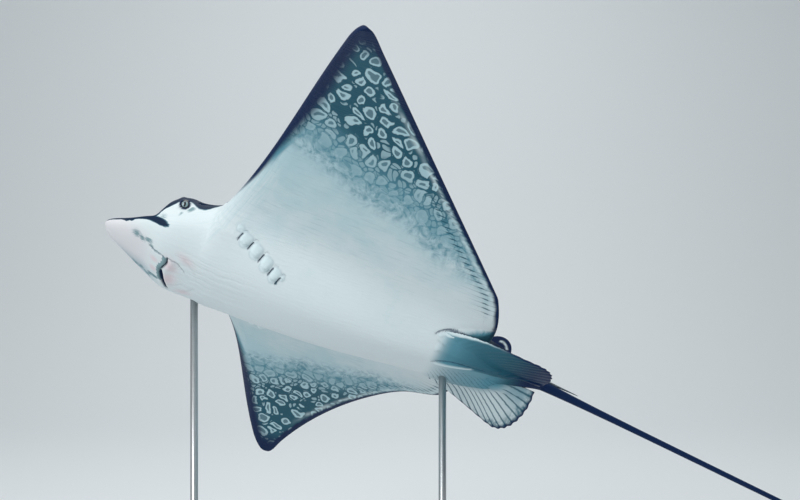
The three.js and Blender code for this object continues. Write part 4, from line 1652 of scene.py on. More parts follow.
    def _pelvic_coat(self, flat: Array, u: Array, along: Array, hand: Hand, face: Side) -> Coat:
        """Return the coat of one face of a pelvic fin.

        Args:
            flat: The flat place and face of each point.
            u: Shares of the way across the fin, from its front edge.
            along: Shares of the way along its rays.
            hand: Which fin it is; the left one gets painted shade towards its end.
            face: Upper or lower face.
        """
        x = flat[:, 0]
        ray = PELVIC_FORM.ray_place(u)
        edge = ramp(along, 0.945, 0.972)
        ones = np.ones_like(u)
        if face is Side.BACK:
            rays = 0.5 * ramp(along, 0.3, 0.6)
            return plain_coat(flat, dark=ones, back=ones, line=edge, rays=rays, ray=ray)
        # The left fin lies in shadow, so its face gets painted shade that deepens towards its end.
        if hand is Hand.LEFT:
            past_hip = np.abs(flat[:, 1]) - self.relief.hip_line(x)
            vent = self.relief.hip_creases()[1].drawn(x, flat[:, 1])
            return plain_coat(
                flat,
                line=np.maximum(edge * ramp(x, 0.5, 0.56), vent),
                tint=self.relief.rump_shade(x) * ramp(past_hip, 0.003, -0.002),
                rays=0.45 * ramp(x, 0.5, 0.56),
                ray=ray,
                pale=0.9 * ramp(along, mix(0.88, 0.94, u / 0.45), 0.97) * ramp(u, 0.42, 0.16),
            )
        front = ramp(u, 0.03, 0.012) * ramp(x, 0.47, 0.5)
        tint = 0.08 * ramp(along, 0.1, 0.6) + 0.16 * ramp(u, 0.7, 0.97)
        return plain_coat(
            flat,
            dark=0.4 * ramp(along, 0.7, 0.96) * ramp(u, 0.3, 0.6),
            size=0.5 * ones,
            line=np.maximum(edge * ramp(u, 0.08, 0.3), 0.8 * front),
            # Half of the belly's painted shade runs on over the root of the right fin.
            tint=np.maximum(tint, 0.5 * self.relief.rump_shade(x) * ramp(along, 0.5, 0.1)),
            rays=0.6 * ramp(along, 0.18, 0.4),
            ray=ray,
        )

    def _fins(self, whole: bmesh.types.BMesh) -> None:
        """Add both pelvic fins and the dorsal fin, each face in a row of the map."""
        row = 0.0
        for hand in Hand:
            for face in Side:
                self._pelvic_fin(whole, hand, face, row)
                row += FIN_ROW
        for hand in Hand:
            self._dorsal_fin(whole, hand, row)
            row += FIN_ROW

    def _pelvic_fin(self, whole: bmesh.types.BMesh, hand: Hand, face: Side, row: float) -> None:
        """Add one face of a pelvic fin, with the given row of the map to itself."""
        bm = grid_bmesh(*self.fin_grid)
        u, v = grid_places(bm)
        x, y, depth, along = PELVIC_FORM.outline(u, v)
        places = PelvicStand().place(x, y, face.value * depth, hand)
        if face is Side.BELLY:
            within = ramp(u, 0, 0.08) * ramp(u, 1, 0.92) * ramp(along, 1, 0.93)
            within *= ramp(self.relief.edges(x, y)[1], 0.0, 0.03)
            places[:, 2] += within * self._filled(self._belly_height(x, y) - places[:, 2])
        flat = np.stack([x, hand.value * y, face.value * np.ones_like(u)], -1)
        coat = self._pelvic_coat(flat, u, along, hand, face)
        self._add(whole, bm, places, coat, UvFrame(FIN_CORNER), (x - FIN_START, y + row))

    def _dorsal_fin(self, whole: bmesh.types.BMesh, hand: Hand, row: float) -> None:
        """Add one face of the dorsal fin, with the given row of the map to itself."""
        bm = grid_bmesh(*self.dorsal_grid)
        u, v = grid_places(bm)
        x, z, depth, _ = DORSAL_FORM.outline(u, v)
        places = np.stack([x, hand.value * depth, z], axis=-1)
        ones = np.ones_like(u)
        flat = np.stack([x, hand.value * z, ones], -1)
        path = line((0.533, 0.0425), (0.5375, 0.048), (0.5425, 0.043), (0.546, 0.034))
        hook = Crease(path, 0.0026, 0, ink=1).drawn(x, z)
        ink = 0.95 - 0.95 * hook
        coat = plain_coat(flat, dark=ones, back=ones, line=ink, pale=0.85 * hook)
        self._add(whole, bm, places, coat, UvFrame(FIN_CORNER), (x - FIN_START, z + row))

    def build(self) -> bpy.types.Object:
        """Return the finished skin as an object."""
        whole = bmesh.new()
        self._body(whole)
        self._tail(whole)
        self._fins(whole)
        mesh = finish_mesh("ray_skin", whole)
        LOG.info("skin: %d vertices, %d faces", len(mesh.vertices), len(mesh.polygons))
        skin = new_object("ray_skin", mesh)
        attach(skin, "root")
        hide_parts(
            "snout_lobe", "head", "trunk", "pectoral_fin_right", "pectoral_fin_left",
            "pelvic_fin_right", "pelvic_fin_left", "dorsal_fin",
            "tail_1", "tail_2", "tail_3", "tail_4", "tail_5",
        )
        return skin


# ------------------------------------------------------------------ eyes and stings
@dataclass(frozen=True)
class Eyes:
    """Both eyeballs, each with a bulging cornea in front of its iris.

    Attributes:
        form: Place and size of the eyeballs.
        iris: Radius of the iris, in shares.
        bulge: How far the cornea stands out from the ball.
        lean: How far forward the slit of the pupil leans.
        pose: How the animal lies in the room.
        segments: Faces round and along the eyeball.
    """

    form: EyeForm = EyeForm()
    pose: Pose = Pose()
    iris: float = 0.0046
    bulge: float = 0.0005
    lean: float = math.radians(17)
    segments: tuple[int, int] = (64, 48)

    def build(self) -> list[bpy.types.Object]:
        """Return one eyeball for each hand, with its own frame kept as a point attribute."""
        made = []
        for hand in Hand:
            bm = bmesh.new()
            columns, rows = self.segments
            bmesh.ops.create_uvsphere(
                bm, u_segments=columns, v_segments=rows, radius=self.form.radius
            )
            local = np.array([vert.co[:] for vert in bm.verts])
            mesh = finish_mesh(f"eye_{hand.label}", bm)
            off = np.hypot(local[:, 0], local[:, 1]) / self.iris
            local[:, 2] += self.bulge * (1 - off**2) * (off < 1) * (local[:, 2] > 0)
            centre, gaze = self.form.axis(hand)
            level = np.cross([0, 0, 1], gaze)
            level /= np.linalg.norm(level)
            upright = np.cross(gaze, level)
            lean = hand.value * self.lean
            across = math.cos(lean) * level - math.sin(lean) * upright
            up = math.cos(lean) * upright + math.sin(lean) * level
            places = centre + local @ np.stack([across, up, gaze])
            write_places(mesh, self.pose.to_room(places))
            write_vectors(mesh, "iris", local / self.iris)
            mesh.update()
            eye = new_object(mesh.name, mesh)
            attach(eye, "root")
            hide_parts(f"eye_{hand.label}")
            made.append(eye)
        return made


@dataclass(frozen=True)
class Sting:
    """One barbed sting on top of the tail's root, a flat dagger with teeth along both edges.

    Attributes:
        name: Name of the solid that it stands for.
        start: How far aft of the snout it begins.
        length: Its length.
        side: How far right of the middle line it lies.
        lift: How far it is raised off the tail.
        teeth: How many teeth each edge has.
        half_size: Half its width and half its thickness at the root.
        sink: How deep its root is sunk in the tail.
        point: Share of its width that is left at its point.
        tail: The tail's middle line.
        grid: Faces round and along it.
    """

    name: str
    start: float
    length: float
    side: float
    lift: float
    teeth: int
    half_size: Pair = (0.0028, 0.0017)
    sink: float = 0.0004
    point: float = 0.04
    tail: TailLine = TailLine()
    grid: tuple[int, int] = (32, 320)

    def build(self) -> bpy.types.Object:
        """Return the sting as an object."""
        bm = grid_bmesh(*self.grid)
        u, v = grid_places(bm)
        around = u * FULL_TURN
        along = self.start - self.tail.start
        root = self.tail.radius(np.array(along / self.tail.length))
        top = self.tail.height - along * math.tan(self.tail.drop) + root - self.sink
        tip = np.sqrt(1 - ramp(v, 0.97, 1.02))
        taper = mix(self.point, 1, (1 - v) ** 0.6) * round_edge(v, 0.01) * tip
        tooth = (v * self.teeth) % 1
        edge = np.abs(np.cos(around)) ** 4 * ramp(v, 0.1, 0.3)
        groove = 0.22 * bell(np.abs(np.cos(around)), 0.42, 0.12) * (np.sin(around) > 0)
        wide = self.half_size[0] * taper * np.cos(around) * (1 - 0.3 * (1 - tooth) * edge)
        high = self.half_size[1] * taper * np.sin(around) * (1 - groove)
        rise = math.tan(self.lift - self.tail.drop)
        reach = self.length * v
        places = np.stack([self.start + reach, self.side + wide, top + reach * rise + high], axis=-1)
        for vert, place in zip(bm.verts, self.tail.pose.to_room(places)):
            vert.co = place
        sting = new_object(self.name, finish_mesh(self.name, bm))
        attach(sting, "root")
        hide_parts(self.name)
        return sting


STINGS = (
    Sting("tail_sting_long", 0.594, 0.059, -0.0017, math.radians(0.8), 40),
    Sting("tail_sting_short", 0.6, 0.04, 0.0043, math.radians(1.6), 28),
)


# ------------------------------------------------------------------ display stand
@dataclass(frozen=True)
class Base:
    """The flat plate of the stand, in millimetres.

    Attributes:
        length: Along X.
        width: Along Y.
        thickness: Its height.
        corner: Radius of its upright corners.
        bevel: Radius of its upper and lower edges.
        corner_segments: Faces round a corner.
        bevel_segments: Faces round an edge.
        level: How far up or down a face has to look to be the top or the underside.
    """

    length: float = 860
    width: float = 460
    thickness: float = 20
    corner: float = 60
    bevel: float = 3
    corner_segments: int = 24
    bevel_segments: int = 4
    level: float = 0.9

    def _round(self, bm: bmesh.types.BMesh, edges: Sequence, radius: float, segments: int) -> None:
        """Round edges off with a radius in millimetres."""
        bmesh.ops.bevel(
            bm, geom=edges, offset=radius * MM, segments=segments, profile=0.5, affect="EDGES"
        )

    def _is_rim(self, edge: bmesh.types.BMEdge) -> bool:
        """Return whether an edge has the top or the underside on one side only."""
        return len({abs(face.normal.z) > self.level for face in edge.link_faces}) > 1

    def build(self) -> bpy.types.Object:
        """Return the plate, with round corners and bevelled edges."""
        bm = bmesh.new()
        size = Vector((self.length, self.width, self.thickness)) * MM
        bmesh.ops.create_cube(bm, size=1)
        bmesh.ops.translate(bm, verts=bm.verts, vec=(0, 0, 0.5))
        bmesh.ops.scale(bm, verts=bm.verts, vec=size)
        upright = [e for e in bm.edges if abs(e.verts[0].co.z - e.verts[1].co.z) > MM]
        self._round(bm, upright, self.corner, self.corner_segments)
        rim = [edge for edge in bm.edges if self._is_rim(edge)]
        self._round(bm, rim, self.bevel, self.bevel_segments)
        base = new_object("stand_base", finish_mesh("stand_base", bm))
        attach(base, "root")
        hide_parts("stand_base")
        return base


@dataclass(frozen=True)
class Rod:
    """One round rod of the stand with a collar at its foot, in millimetres.

    Attributes:
        name: Name of the solid that it stands for.
        contact: Where it meets the belly, aft of the snout and right of the middle, in shares.
        foot: Height of its underside.
        radius: Radius of the rod.
        collar_radius: Radius of the collar.
        collar_height: Height of the collar.
        edge: Width of the collar's rounded edge.
        reach: How far it goes on above the keel's height there.
        sides: Faces round it.
    """

    name: str
    contact: Pair
    foot: float = 20.3
    radius: float = 8
    collar_radius: float = 26
    collar_height: float = 9
    edge: float = 2
    reach: float = 0
    sides: int = 64

    def build(self, form: RayForm) -> bpy.types.Object:
        """Return the rod, standing up to the belly of the ray."""
        x, y = (np.array([value]) for value in self.contact)
        place = form.pose.to_room(form.bend(x, y, form.keel(x)))[0]
        top = place[2] / MM + self.reach
        shoulder = self.foot + self.collar_height
        collar = self.collar_radius
        outline = (
            (0, self.foot), (collar - 0.5, self.foot), (collar, self.foot + 0.5),
            (collar, shoulder - self.edge), (collar - 0.6, shoulder - 0.6),
            (collar - self.edge, shoulder), (self.radius + 1, shoulder),
            (self.radius, shoulder + 1), (self.radius, top), (0, top),
        )
        bm = bmesh.new()
        verts = [bm.verts.new((r * MM, 0, z * MM)) for r, z in outline]
        edges = [bm.edges.new(pair) for pair in zip(verts, verts[1:])]
        bmesh.ops.spin(
            bm, geom=verts + edges, axis=(0, 0, 1), cent=(0, 0, 0), angle=FULL_TURN,
            steps=self.sides,
        )
        bmesh.ops.translate(bm, verts=bm.verts, vec=(place[0], place[1], 0))
        rod = new_object(self.name, finish_mesh(self.name, bm))
        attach(rod, "root")
        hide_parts(self.name)
        return rod


RODS = (
    Rod("stand_rod_front", (0.14, 0.064), reach=34),
    Rod("stand_rod_rear", (0.478, 0.024), reach=8),
)


# ------------------------------------------------------------------ materials
def srgb(code: str) -> tuple[float, float, float, float]:
    """Return the linear colour of an sRGB hex code such as "1e3f4e"."""
    parts = [int(code[k : k + 2], 16) / 255 for k in (0, 2, 4)]
    linear = [c / 12.92 if c <= 0.04045 else ((c + 0.055) / 1.055) ** 2.4 for c in parts]
    return (*linear, 1.0)


@dataclass
class NodeTree:
    """A material's node tree, with short ways to add its nodes.

    Attributes:
        tree: The tree that the nodes go into.
    """

    tree: bpy.types.NodeTree

    def add(self, kind: str, inputs: dict | None = None, **settings: object) -> bpy.types.Node:
        """Add a node.

        Args:
            kind: The node's type, without the ShaderNode in front.
            inputs: Values, or sockets to link from, for its inputs by name or number.
            settings: Values for its own properties.

        Returns:
            The new node.
        """
        node = self.tree.nodes.new(f"ShaderNode{kind}")
        for name, value in settings.items():
            setattr(node, name, value)
        for key, value in (inputs or {}).items():
            if isinstance(value, Socket):
                self.tree.links.new(value, node.inputs[key])
            else:
                node.inputs[key].default_value = value
        return node

    def mask(self, name: str) -> Socket:
        """Return the value of a point attribute."""
        return self.add("Attribute", attribute_name=name).outputs["Fac"]

    def math(self, operation: str, *values: object) -> Socket:
        """Return the result of one sum on up to three values or sockets."""
        return self.add("Math", dict(enumerate(values)), operation=operation).outputs[0]

    def noise(self, place: Socket, scale: float, detail: float, **more: float) -> Socket:
        """Return soft noise about 0.5 at a place, with the given patches and finer layers."""
        inputs = {"Vector": place, "Scale": scale, "Detail": detail, **more}
        return self.add("TexNoise", inputs).outputs["Fac"]

    def vector(self, operation: str, *values: object) -> Socket:
        """Return the vector that one sum on vectors gives."""
        return self.add("VectorMath", dict(enumerate(values)), operation=operation).outputs[0]

    def mapped(self, scale: Triple) -> Socket:
        """Return the place in the piece's own frame, times a scale along each axis."""
        place = self.add("TexCoord").outputs["Object"]
        return self.add("Mapping", {"Vector": place, "Scale": scale}).outputs[0]

    def bump(self, height: Socket, strength: float, distance: float) -> Socket:
        """Return the normal of a surface with the given relief, its distance in metres."""
        inputs = {"Height": height, "Strength": strength, "Distance": distance}
        return self.add("Bump", inputs).outputs[0]

    def steps(self, value: object, start: object, end: object) -> Socket:
        """Return 0 up to start and 1 from end, with a smooth rise between."""
        inputs = {"Value": value, "From Min": start, "From Max": end}
        return self.add("MapRange", inputs, interpolation_type="SMOOTHSTEP").outputs[0]

    def blend(self, share: object, under: object, over: object) -> Socket:
        """Return one colour laid over another by a share."""
        return self.add("Mix", {0: share, 6: under, 7: over}, data_type="RGBA").outputs[2]


def new_material(name: str) -> tuple[bpy.types.Material, NodeTree]:
    """Return a new material with an empty node tree, and the tree."""
    material = bpy.data.materials.new(name)
    material.use_nodes = True
    material.node_tree.nodes.clear()
    return material, NodeTree(material.node_tree)


def close_material(nodes: NodeTree, colour: object, roughness: object, **more: object) -> None:
    """End a material in one principled shader, its other inputs named with _ for a space."""
    inputs = {name.replace("_", " "): value for name, value in more.items()}
    inputs = {"Base Color": colour, "Roughness": roughness, **inputs}
    shader = nodes.add("BsdfPrincipled", inputs)
    nodes.add("OutputMaterial", {"Surface": shader.outputs[0]})


@dataclass(frozen=True)
class SkinFinish:
    """Wet, smooth ray skin with its markings.

    Attributes:
        belly: Colour of the middle of the belly.
        wing: Colour of the wings where the ground fades.
        ground: Colour between the spots near the tips, and a middle step of painted shade.
        faded: Colour between the spots where they thin out, and the first step of painted shade.
        spot: Colour of spots and rings.
        bleached: Colour of crests and pale edges.
        ink: Colour of margins, slits and creases, and the darkest step of painted shade.
        back: Colour of the back.
        pink: Colour of the snout.
        patch: Colour of the patches beside the mouth, and of the painted shadow in the gill hollows.
        roughness: Of the wet skin, in the middle.
        cells: How many spots fit along and across the disc width.
        streaks: Stretch of the faint streaks, along, across and up.
        striae: Stretch of the muscles' grain, along, across and up.
    """

    belly: str = "dfeaec"
    wing: str = "bcd8df"
    ground: str = "22596b"
    faded: str = "5b93a4"
    spot: str = "b6d6de"
    bleached: str = "dcedf0"
    ink: str = "03214a"
    back: str = "07233f"
    pink: str = "e3ccd2"
    patch: str = "5f8890"
    roughness: float = 0.46
    cells: Pair = (54, 39)
    streaks: Triple = (34.0, 300.0, 1.0)
    striae: Triple = (55.0, 420.0, 1.0)

    def _cells(self, nodes: NodeTree, flat: Socket) -> Socket:
        """Return the flat place in spot cells, with its grid bent to and fro."""
        cells = nodes.vector("MULTIPLY", flat, (*self.cells, 0.0))
        noise = nodes.add("TexNoise", {"Vector": cells, "Scale": 0.8, "Detail": 1.0})
        centred = nodes.vector("SUBTRACT", noise.outputs["Color"], (0.5, 0.5, 0.5))
        pushed = nodes.add("VectorMath", {0: centred, "Scale": 1.1}, operation="SCALE").outputs[0]
        return nodes.vector("ADD", cells, pushed)

    def _spots(
        self, nodes: NodeTree, place: Socket, scale: float, grown: object
    ) -> tuple[Socket, Socket]:
        """Return how far inside a rounded spot a place is, and a number for each spot.

        Args:
            nodes: The material's nodes.
            place: Place in spot cells.
            scale: Spots of this layer for each spot cell.
            grown: How far the spots are grown towards their neighbours.

        Returns:
            The depth inside the spot, in its own cells and below 0 outside, and a value from
            0 to 1 that differs from spot to spot.
        """
        cell = {"Vector": place, "Scale": scale, "Randomness": 0.9}
        point = nodes.add("TexVoronoi", cell, voronoi_dimensions="2D")
        edge = nodes.add("TexVoronoi", cell, voronoi_dimensions="2D", feature="DISTANCE_TO_EDGE")
        chance = nodes.add("SeparateColor", {0: point.outputs["Color"]}).outputs[0]
        radius = nodes.math("MULTIPLY_ADD", chance, 0.18, 0.31)
        inside = nodes.math("SUBTRACT", nodes.math("ADD", radius, grown), point.outputs["Distance"])
        gap = nodes.math("SUBTRACT", 0.085, nodes.math("MULTIPLY", grown, 0.4))
        beside = nodes.math("SUBTRACT", edge.outputs["Distance"], gap)
        return nodes.math("SMOOTH_MIN", inside, beside, 0.26), chance

    def _marks(
        self, nodes: NodeTree, place: Socket, size: Socket,
        back: Socket,
    ) -> Socket:
        """Return the strength of rings and spots, rings far out and filled spots farther in."""
        grown = nodes.math("MULTIPLY_ADD", size, 0.08, nodes.math("MULTIPLY", back, -0.17))
        depth, chance = self._spots(nodes, place, 1.0, grown)
        rough = nodes.noise(place, 4.5, 1.0)
        depth = nodes.math("ADD", depth, nodes.math("MULTIPLY_ADD", rough, 0.14, -0.08))
        spot = nodes.steps(depth, -0.02, 0.04)
        line = nodes.math("MULTIPLY_ADD", size, 0.1, 0.095)
        line = nodes.math("MULTIPLY_ADD", chance, 0.04, line)
        hole = nodes.steps(depth, line, nodes.math("ADD", line, 0.06))
        hole = nodes.math("MULTIPLY", hole, nodes.steps(size, 0.95, 0.55))
        ring = nodes.math("SUBTRACT", spot, nodes.math("MULTIPLY", hole, 0.78))
        small, chance = self._spots(nodes, place, 2.4, nodes.math("MULTIPLY", size, 0.16))
        rare = nodes.steps(nodes.math("ADD", chance, size), 0.62, 0.7)
        between = nodes.steps(depth, nodes.math("MULTIPLY_ADD", size, 0.3, -0.12), -0.2)
        dots = nodes.math("MULTIPLY", nodes.steps(small, -0.02, 0.08), rare)
        dots = nodes.math("MULTIPLY", nodes.math("MULTIPLY", dots, between), 0.7)
        dots = nodes.math("MULTIPLY", dots, nodes.steps(back, 0.9, 0.5))
        return nodes.math("MAXIMUM", ring, dots)

    def _skin(self, nodes: NodeTree, flat: Socket) -> Socket:
        """Return the colour of the plain skin, from the pale belly out to the wings."""
        out = nodes.math("ABSOLUTE", nodes.add("SeparateXYZ", {0: flat}).outputs["Y"])
        cloud = nodes.noise(flat, 17.0, 4.0, Roughness=0.62)
        spread = nodes.math("MULTIPLY_ADD", cloud, 0.24, nodes.math("ADD", out, -0.12))
        colour = nodes.blend(nodes.steps(spread, 0.04, 0.26), srgb(self.belly), srgb(self.wing))
        streak = nodes.noise(nodes.vector("MULTIPLY", flat, self.streaks), 1.0, 3.0)
        streak = nodes.math("MULTIPLY", nodes.steps(streak, 0.5, 0.75), nodes.steps(out, 0.05, 0.14))
        colour = nodes.blend(nodes.math("MULTIPLY", streak, 0.15), colour, srgb(self.faded))
        colour = nodes.blend(nodes.mask("blush"), colour, srgb(self.pink))
        grain = nodes.noise(flat, 230.0, 4.0)
        # The shade mask brings grey-green patches and the painted shadow in the gill hollows.
        mask = nodes.mask("shade")
        broken = nodes.math("ADD", mask, nodes.math("MULTIPLY_ADD", grain, 1.4, -0.7))
        broken = nodes.math("MULTIPLY", nodes.steps(broken, 0.15, 0.75), nodes.steps(mask, 0.02, 0.3))
        return nodes.blend(nodes.math("MULTIPLY", broken, 0.85), colour, srgb(self.patch))

    def make(self) -> bpy.types.Material:
        """Return the material."""
        material, nodes = new_material("ray_skin_smooth_mottled")
        flat = nodes.add("Attribute", attribute_name="flat").outputs["Vector"]
        place = self._cells(nodes, flat)
        dark, size, back = nodes.mask("dark"), nodes.mask("size"), nodes.mask("back")
        fine = nodes.noise(place, 2.6, 3.0, Roughness=0.6)
        wobble = nodes.math("MULTIPLY", nodes.math("SUBTRACT", fine, 0.5), nodes.steps(dark, 0.0, 0.25))
        patchy = nodes.math("MULTIPLY_ADD", wobble, 1.1, dark)
        ground = nodes.blend(nodes.steps(size, 1.0, 0.25), srgb(self.faded), srgb(self.ground))
        ground = nodes.blend(back, ground, srgb(self.back))
        colour = nodes.blend(nodes.steps(patchy, 0.0, 0.6), self._skin(nodes, flat), ground)
        # These three steps take the skin towards teal and near black: real colour such as the band
        # behind the leading edge, and painted shade by the pelvic fins, on the left pelvic fin, on the
        # snout and round the gill flaps.
        tint = nodes.mask("tint")
        first = nodes.math("MULTIPLY", nodes.steps(tint, 0.0, 0.36), nodes.steps(dark, 0.5, 0.0))
        colour = nodes.blend(first, colour, srgb(self.faded))
        for start, shade in ((0.33, self.ground), (0.62, self.ink)):
            colour = nodes.blend(nodes.steps(tint, start, start + 0.36), colour, srgb(shade))
        spots = nodes.math("MULTIPLY", self._marks(nodes, place, size, back), nodes.mask("rings"))
        colour = nodes.blend(spots, colour, srgb(self.spot))
        wavering = nodes.math("MULTIPLY_ADD", fine, 0.22, nodes.mask("ray"))
        wave = nodes.math("SINE", nodes.math("MULTIPLY", wavering, FULL_TURN))
        lifted = nodes.math("MULTIPLY_ADD", nodes.mask("rays"), 0.6, wave)
        strength = nodes.math("MINIMUM", nodes.math("MULTIPLY", nodes.mask("rays"), 1.4), 0.9)
        rays = nodes.math("MULTIPLY", nodes.steps(lifted, 0.9, 1.35), strength)
        colour = nodes.blend(rays, colour, srgb(self.ground))
        colour = nodes.blend(nodes.mask("pale"), colour, srgb(self.bleached))
        colour = nodes.blend(nodes.mask("line"), colour, srgb(self.ink))
        rough = nodes.math("MULTIPLY_ADD", fine, 0.16, self.roughness - 0.08)
        normal = self._grain(nodes, flat)
        close_material(nodes, colour, rough, IOR=1.36, Specular_IOR_Level=0.25, Normal=normal)
        return material

    def _grain(self, nodes: NodeTree, flat: Socket) -> Socket:
        """Return the skin's normal, with fine pores and the lengthwise grain of the muscles."""
        striae = nodes.noise(nodes.vector("MULTIPLY", flat, self.striae), 1.0, 3.0)
        # Real pores are well under a millimetre, too fine to draw, so they are drawn at 3 mm.
        pores = nodes.noise(flat, 520.0, 2.0)
        return nodes.bump(nodes.math("MULTIPLY_ADD", pores, 0.35, striae), 0.55, 0.0012)


@dataclass(frozen=True)
class EyeFinish:
    """Wet eyeball: a pale iris with an upright slit pupil and a dark rim.

    Attributes:
        iris: Colour of the iris.
        flecks: Colour of the flecks in it.
        dark: Colour of pupil, rim and ball.
        pupil: Half the width and half the height of the pupil, in iris radii.
    """

    iris: str = "9fb7bd"
    flecks: str = "6d858c"
    dark: str = "0a1218"
    pupil: Pair = (0.3, 0.78)

    def make(self) -> bpy.types.Material:
        """Return the material."""
        material, nodes = new_material("eyeball_cornea_wet")
        place = nodes.add("Attribute", attribute_name="iris").outputs["Vector"]
        parts = nodes.add("SeparateXYZ", {0: place})
        across, up, front = (parts.outputs[name] for name in "XYZ")
        level = nodes.add("CombineXYZ", {0: across, 1: up, 2: 0.0}).outputs[0]
        narrow = (1 / self.pupil[0], 1 / self.pupil[1], 0.0)
        slit = nodes.vector("MULTIPLY", level, narrow)
        off, slit = (
            nodes.add("VectorMath", {0: way}, operation="LENGTH").outputs["Value"]
            for way in (level, slit)
        )
        fleck = nodes.steps(nodes.noise(place, 5.0, 3.0), 0.4, 0.62)
        colour = nodes.blend(fleck, srgb(self.iris), srgb(self.flecks))
        colour = nodes.blend(nodes.steps(off, 0.78, 0.92), colour, srgb(self.dark))
        colour = nodes.blend(nodes.steps(slit, 1.15, 0.9), colour, srgb(self.dark))
        colour = nodes.blend(nodes.steps(front, 1.2, 0.9), colour, srgb(self.dark))
        close_material(nodes, colour, 0.08, IOR=1.376, Coat_Weight=0.6, Coat_Roughness=0.03)
        return material


def sting_finish() -> bpy.types.Material:
    """Return grown dentine: dark grey-brown along the edges, paler along the ridge."""
    material, nodes = new_material("sting_dentine_ridged")
    noise = nodes.noise(nodes.mapped((60.0, 900.0, 900.0)), 1.0, 3.0)
    colour = nodes.blend(nodes.steps(noise, 0.35, 0.7), srgb("2b3540"), srgb("8796a0"))
    rough = nodes.math("MULTIPLY_ADD", noise, 0.2, 0.35)
    close_material(nodes, colour, rough, IOR=1.54, Normal=nodes.bump(noise, 0.3, 0.0004))
    return material


def steel_finish() -> bpy.types.Material:
    """Return stainless steel, brushed round the rods."""
    material, nodes = new_material("stainless_steel_brushed")
    noise = nodes.noise(nodes.mapped((8.0, 8.0, 1400.0)), 1.0, 2.0)
    colour = nodes.blend(noise, srgb("b4b7b9"), srgb("cdd0d1"))
    rough = nodes.math("MULTIPLY_ADD", noise, 0.18, 0.24)
    close_material(nodes, colour, rough, Metallic=1.0, Normal=nodes.bump(noise, 0.15, 0.0002))
    return material


def powder_coat_finish() -> bpy.types.Material:
    """Return dark grey powder coating, satin with a fine orange peel."""
    material, nodes = new_material("steel_plate_powder_coated_satin")
    place = nodes.add("TexCoord").outputs["Object"]
    # The real peel is about half a millimetre, too fine to draw, so it is drawn at 2 mm.
    peel = nodes.noise(place, 500.0, 2.0)
    wide = nodes.noise(place, 9.0, 3.0)
    colour = nodes.blend(wide, srgb("2f3337"), srgb("373c40"))
    rough = nodes.math("MULTIPLY_ADD", wide, 0.12, 0.44)
    close_material(nodes, colour, rough, IOR=1.5, Normal=nodes.bump(peel, 0.25, 0.0003))
    return material


# ------------------------------------------------------------------ room, light and camera
@dataclass(frozen=True)
class Studio:
    """A pale floor that rises into a pale wall.

    Attributes:
        near: How far the floor runs towards the camera.
        far: How far back the wall stands.
        half_width: Half the width of floor and wall.
        height: How high the wall goes.
        bend: Radius of the bend between them.
        rows: Faces from the floor's near edge to the top of the wall.
        colour: Colour of both, sRGB hex.
        roughness: Of both.
    """

    near: float = -6.0
    far: float = 5.0
    half_width: float = 9.0
    height: float = 7.0
    bend: float = 2.0
    rows: int = 64
    colour: str = "eaeef0"
    roughness: float = 0.9

    def build(self) -> bpy.types.Object:
        """Return the floor and wall."""
        bm = bmesh.new()
        bmesh.ops.create_grid(bm, x_segments=1, y_segments=self.rows, size=0.5)
        level = self.far - self.bend - self.near
        arc = self.bend * math.pi / 2
        length = level + arc + self.height - self.bend
        for vert in bm.verts:
            gone = (vert.co.y + 0.5) * length
            past = gone - level
            angle = min(max(past / self.bend, 0), math.pi / 2)
            y = self.near + min(gone, level) + self.bend * math.sin(angle)
            z = self.bend * (1 - math.cos(angle)) + max(past - arc, 0)
            vert.co = (vert.co.x * 2 * self.half_width, y, z)
        mesh = bpy.data.meshes.new("studio_floor")
        for face in bm.faces:
            face.smooth = True
        bm.to_mesh(mesh)
        bm.free()
        floor = new_object("studio_floor", mesh)
        material, nodes = new_material("studio_paper_matt")
        close_material(nodes, srgb(self.colour), self.roughness)
        mesh.materials.append(material)
        return floor


@dataclass(frozen=True)
class Lamp:
    """A soft square lamp.

    Attributes:
        name: Its name.
        place: Where it hangs, in metres.
        aim: What it points at.
        size: Length of its side.
        power: In watts.
        colour: sRGB hex.
    """

    name: str
    place: Triple
    aim: Triple
    size: float
    power: float
    colour: str = "ffffff"

    def build(self) -> None:
        """Add the lamp to the scene."""
        light = bpy.data.lights.new(self.name, "AREA")
        light.size = self.size
        light.energy = self.power
        light.color = srgb(self.colour)[:3]
        lamp = bpy.data.objects.new(self.name, light)
        way = Vector(self.aim) - Vector(self.place)
        turn = way.to_track_quat("-Z", "Y").to_matrix().to_4x4()
        lamp.matrix_world = Matrix.Translation(self.place) @ turn
        bpy.context.scene.collection.objects.link(lamp)


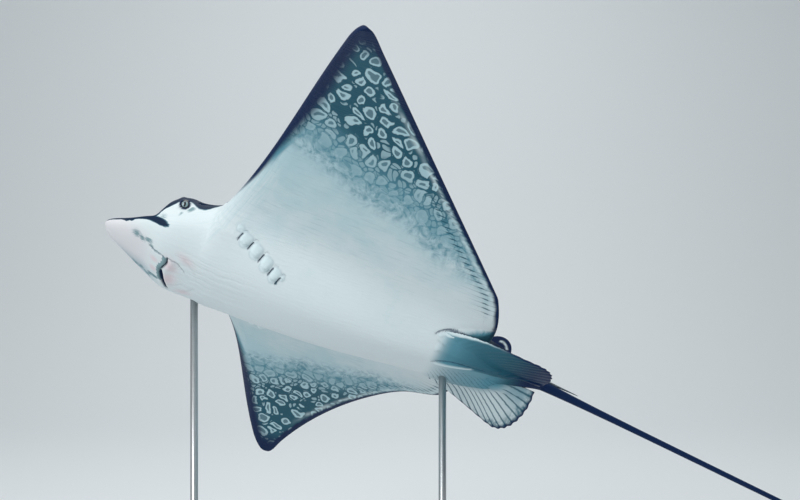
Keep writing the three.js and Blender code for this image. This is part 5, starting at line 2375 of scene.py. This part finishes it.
@dataclass(frozen=True)
class Camera:
    """The camera, level and looking along +Y.

    Attributes:
        place: Where it stands, in metres.
        lens: Focal length, in millimetres.
        sensor: Width of its sensor, in millimetres.
        clip: Nearest and farthest distance that it sees, in metres.
    """

    place: Triple = (0.1615, -1.7839, 1.0001)
    lens: float = 38.16
    sensor: float = 36
    clip: Pair = (0.05, 100)

    def build(self) -> None:
        """Add the camera and make it the scene's."""
        data = bpy.data.cameras.new("camera")
        data.lens = self.lens
        data.sensor_width = self.sensor
        data.clip_start, data.clip_end = self.clip
        data.dof.use_dof = False
        camera = bpy.data.objects.new("camera", data)
        camera.matrix_world = Matrix.Translation(self.place) @ Matrix.Rotation(math.pi / 2, 4, "X")
        bpy.context.scene.collection.objects.link(camera)
        bpy.context.scene.camera = camera


LAMPS = (
    Lamp("key_lamp", (-1.7, -2.6, 3.2), (-0.1, 0, 1.0), 2.0, 82),
    Lamp("fill_lamp", (2.6, -2.4, 1.6), (0.2, 0, 0.9), 3.0, 5),
    Lamp("top_lamp", (0.4, 0.6, 3.9), (0.3, 0, 0.8), 3.0, 40),
    Lamp("wall_lamp", (0.2, 2.2, 3.8), (0.2, 5, 1.4), 3.0, 24),
)


def light_world(colour: str = "e8eef2", strength: float = 0.48) -> None:
    """Give the world an even light of the given sRGB colour, and plain tones to the picture."""
    world = bpy.data.worlds.new("studio_world")
    world.use_nodes = True
    background = world.node_tree.nodes["Background"]
    background.inputs["Color"].default_value = srgb(colour)
    background.inputs["Strength"].default_value = strength
    bpy.context.scene.world = world
    bpy.context.scene.view_settings.view_transform = "Standard"


def dress(pieces: Sequence[bpy.types.Object], material: bpy.types.Material) -> None:
    """Give every piece the material."""
    for piece in pieces:
        piece.data.materials.append(material)
        LOG.info("%s: %d faces, %s", piece.name, len(piece.data.polygons), material.name)


def main() -> None:
    """Build the ray, its stand and the studio."""
    logging.basicConfig(level=logging.INFO, format="%(name)s: %(message)s")
    form = RayForm()
    relief = Relief(form)
    skin = Skin(form, relief, FINE_AREAS).build()
    skin.data.materials.append(SkinFinish().make())
    dress(Eyes(relief.eye, form.pose).build(), EyeFinish().make())
    dress([sting.build() for sting in STINGS], sting_finish())
    dress([rod.build(form) for rod in RODS], steel_finish())
    dress([Base().build()], powder_coat_finish())
    Studio().build()
    for lamp in LAMPS:
        lamp.build()
    Camera().build()
    light_world()


if __name__ == "__main__":
    main()
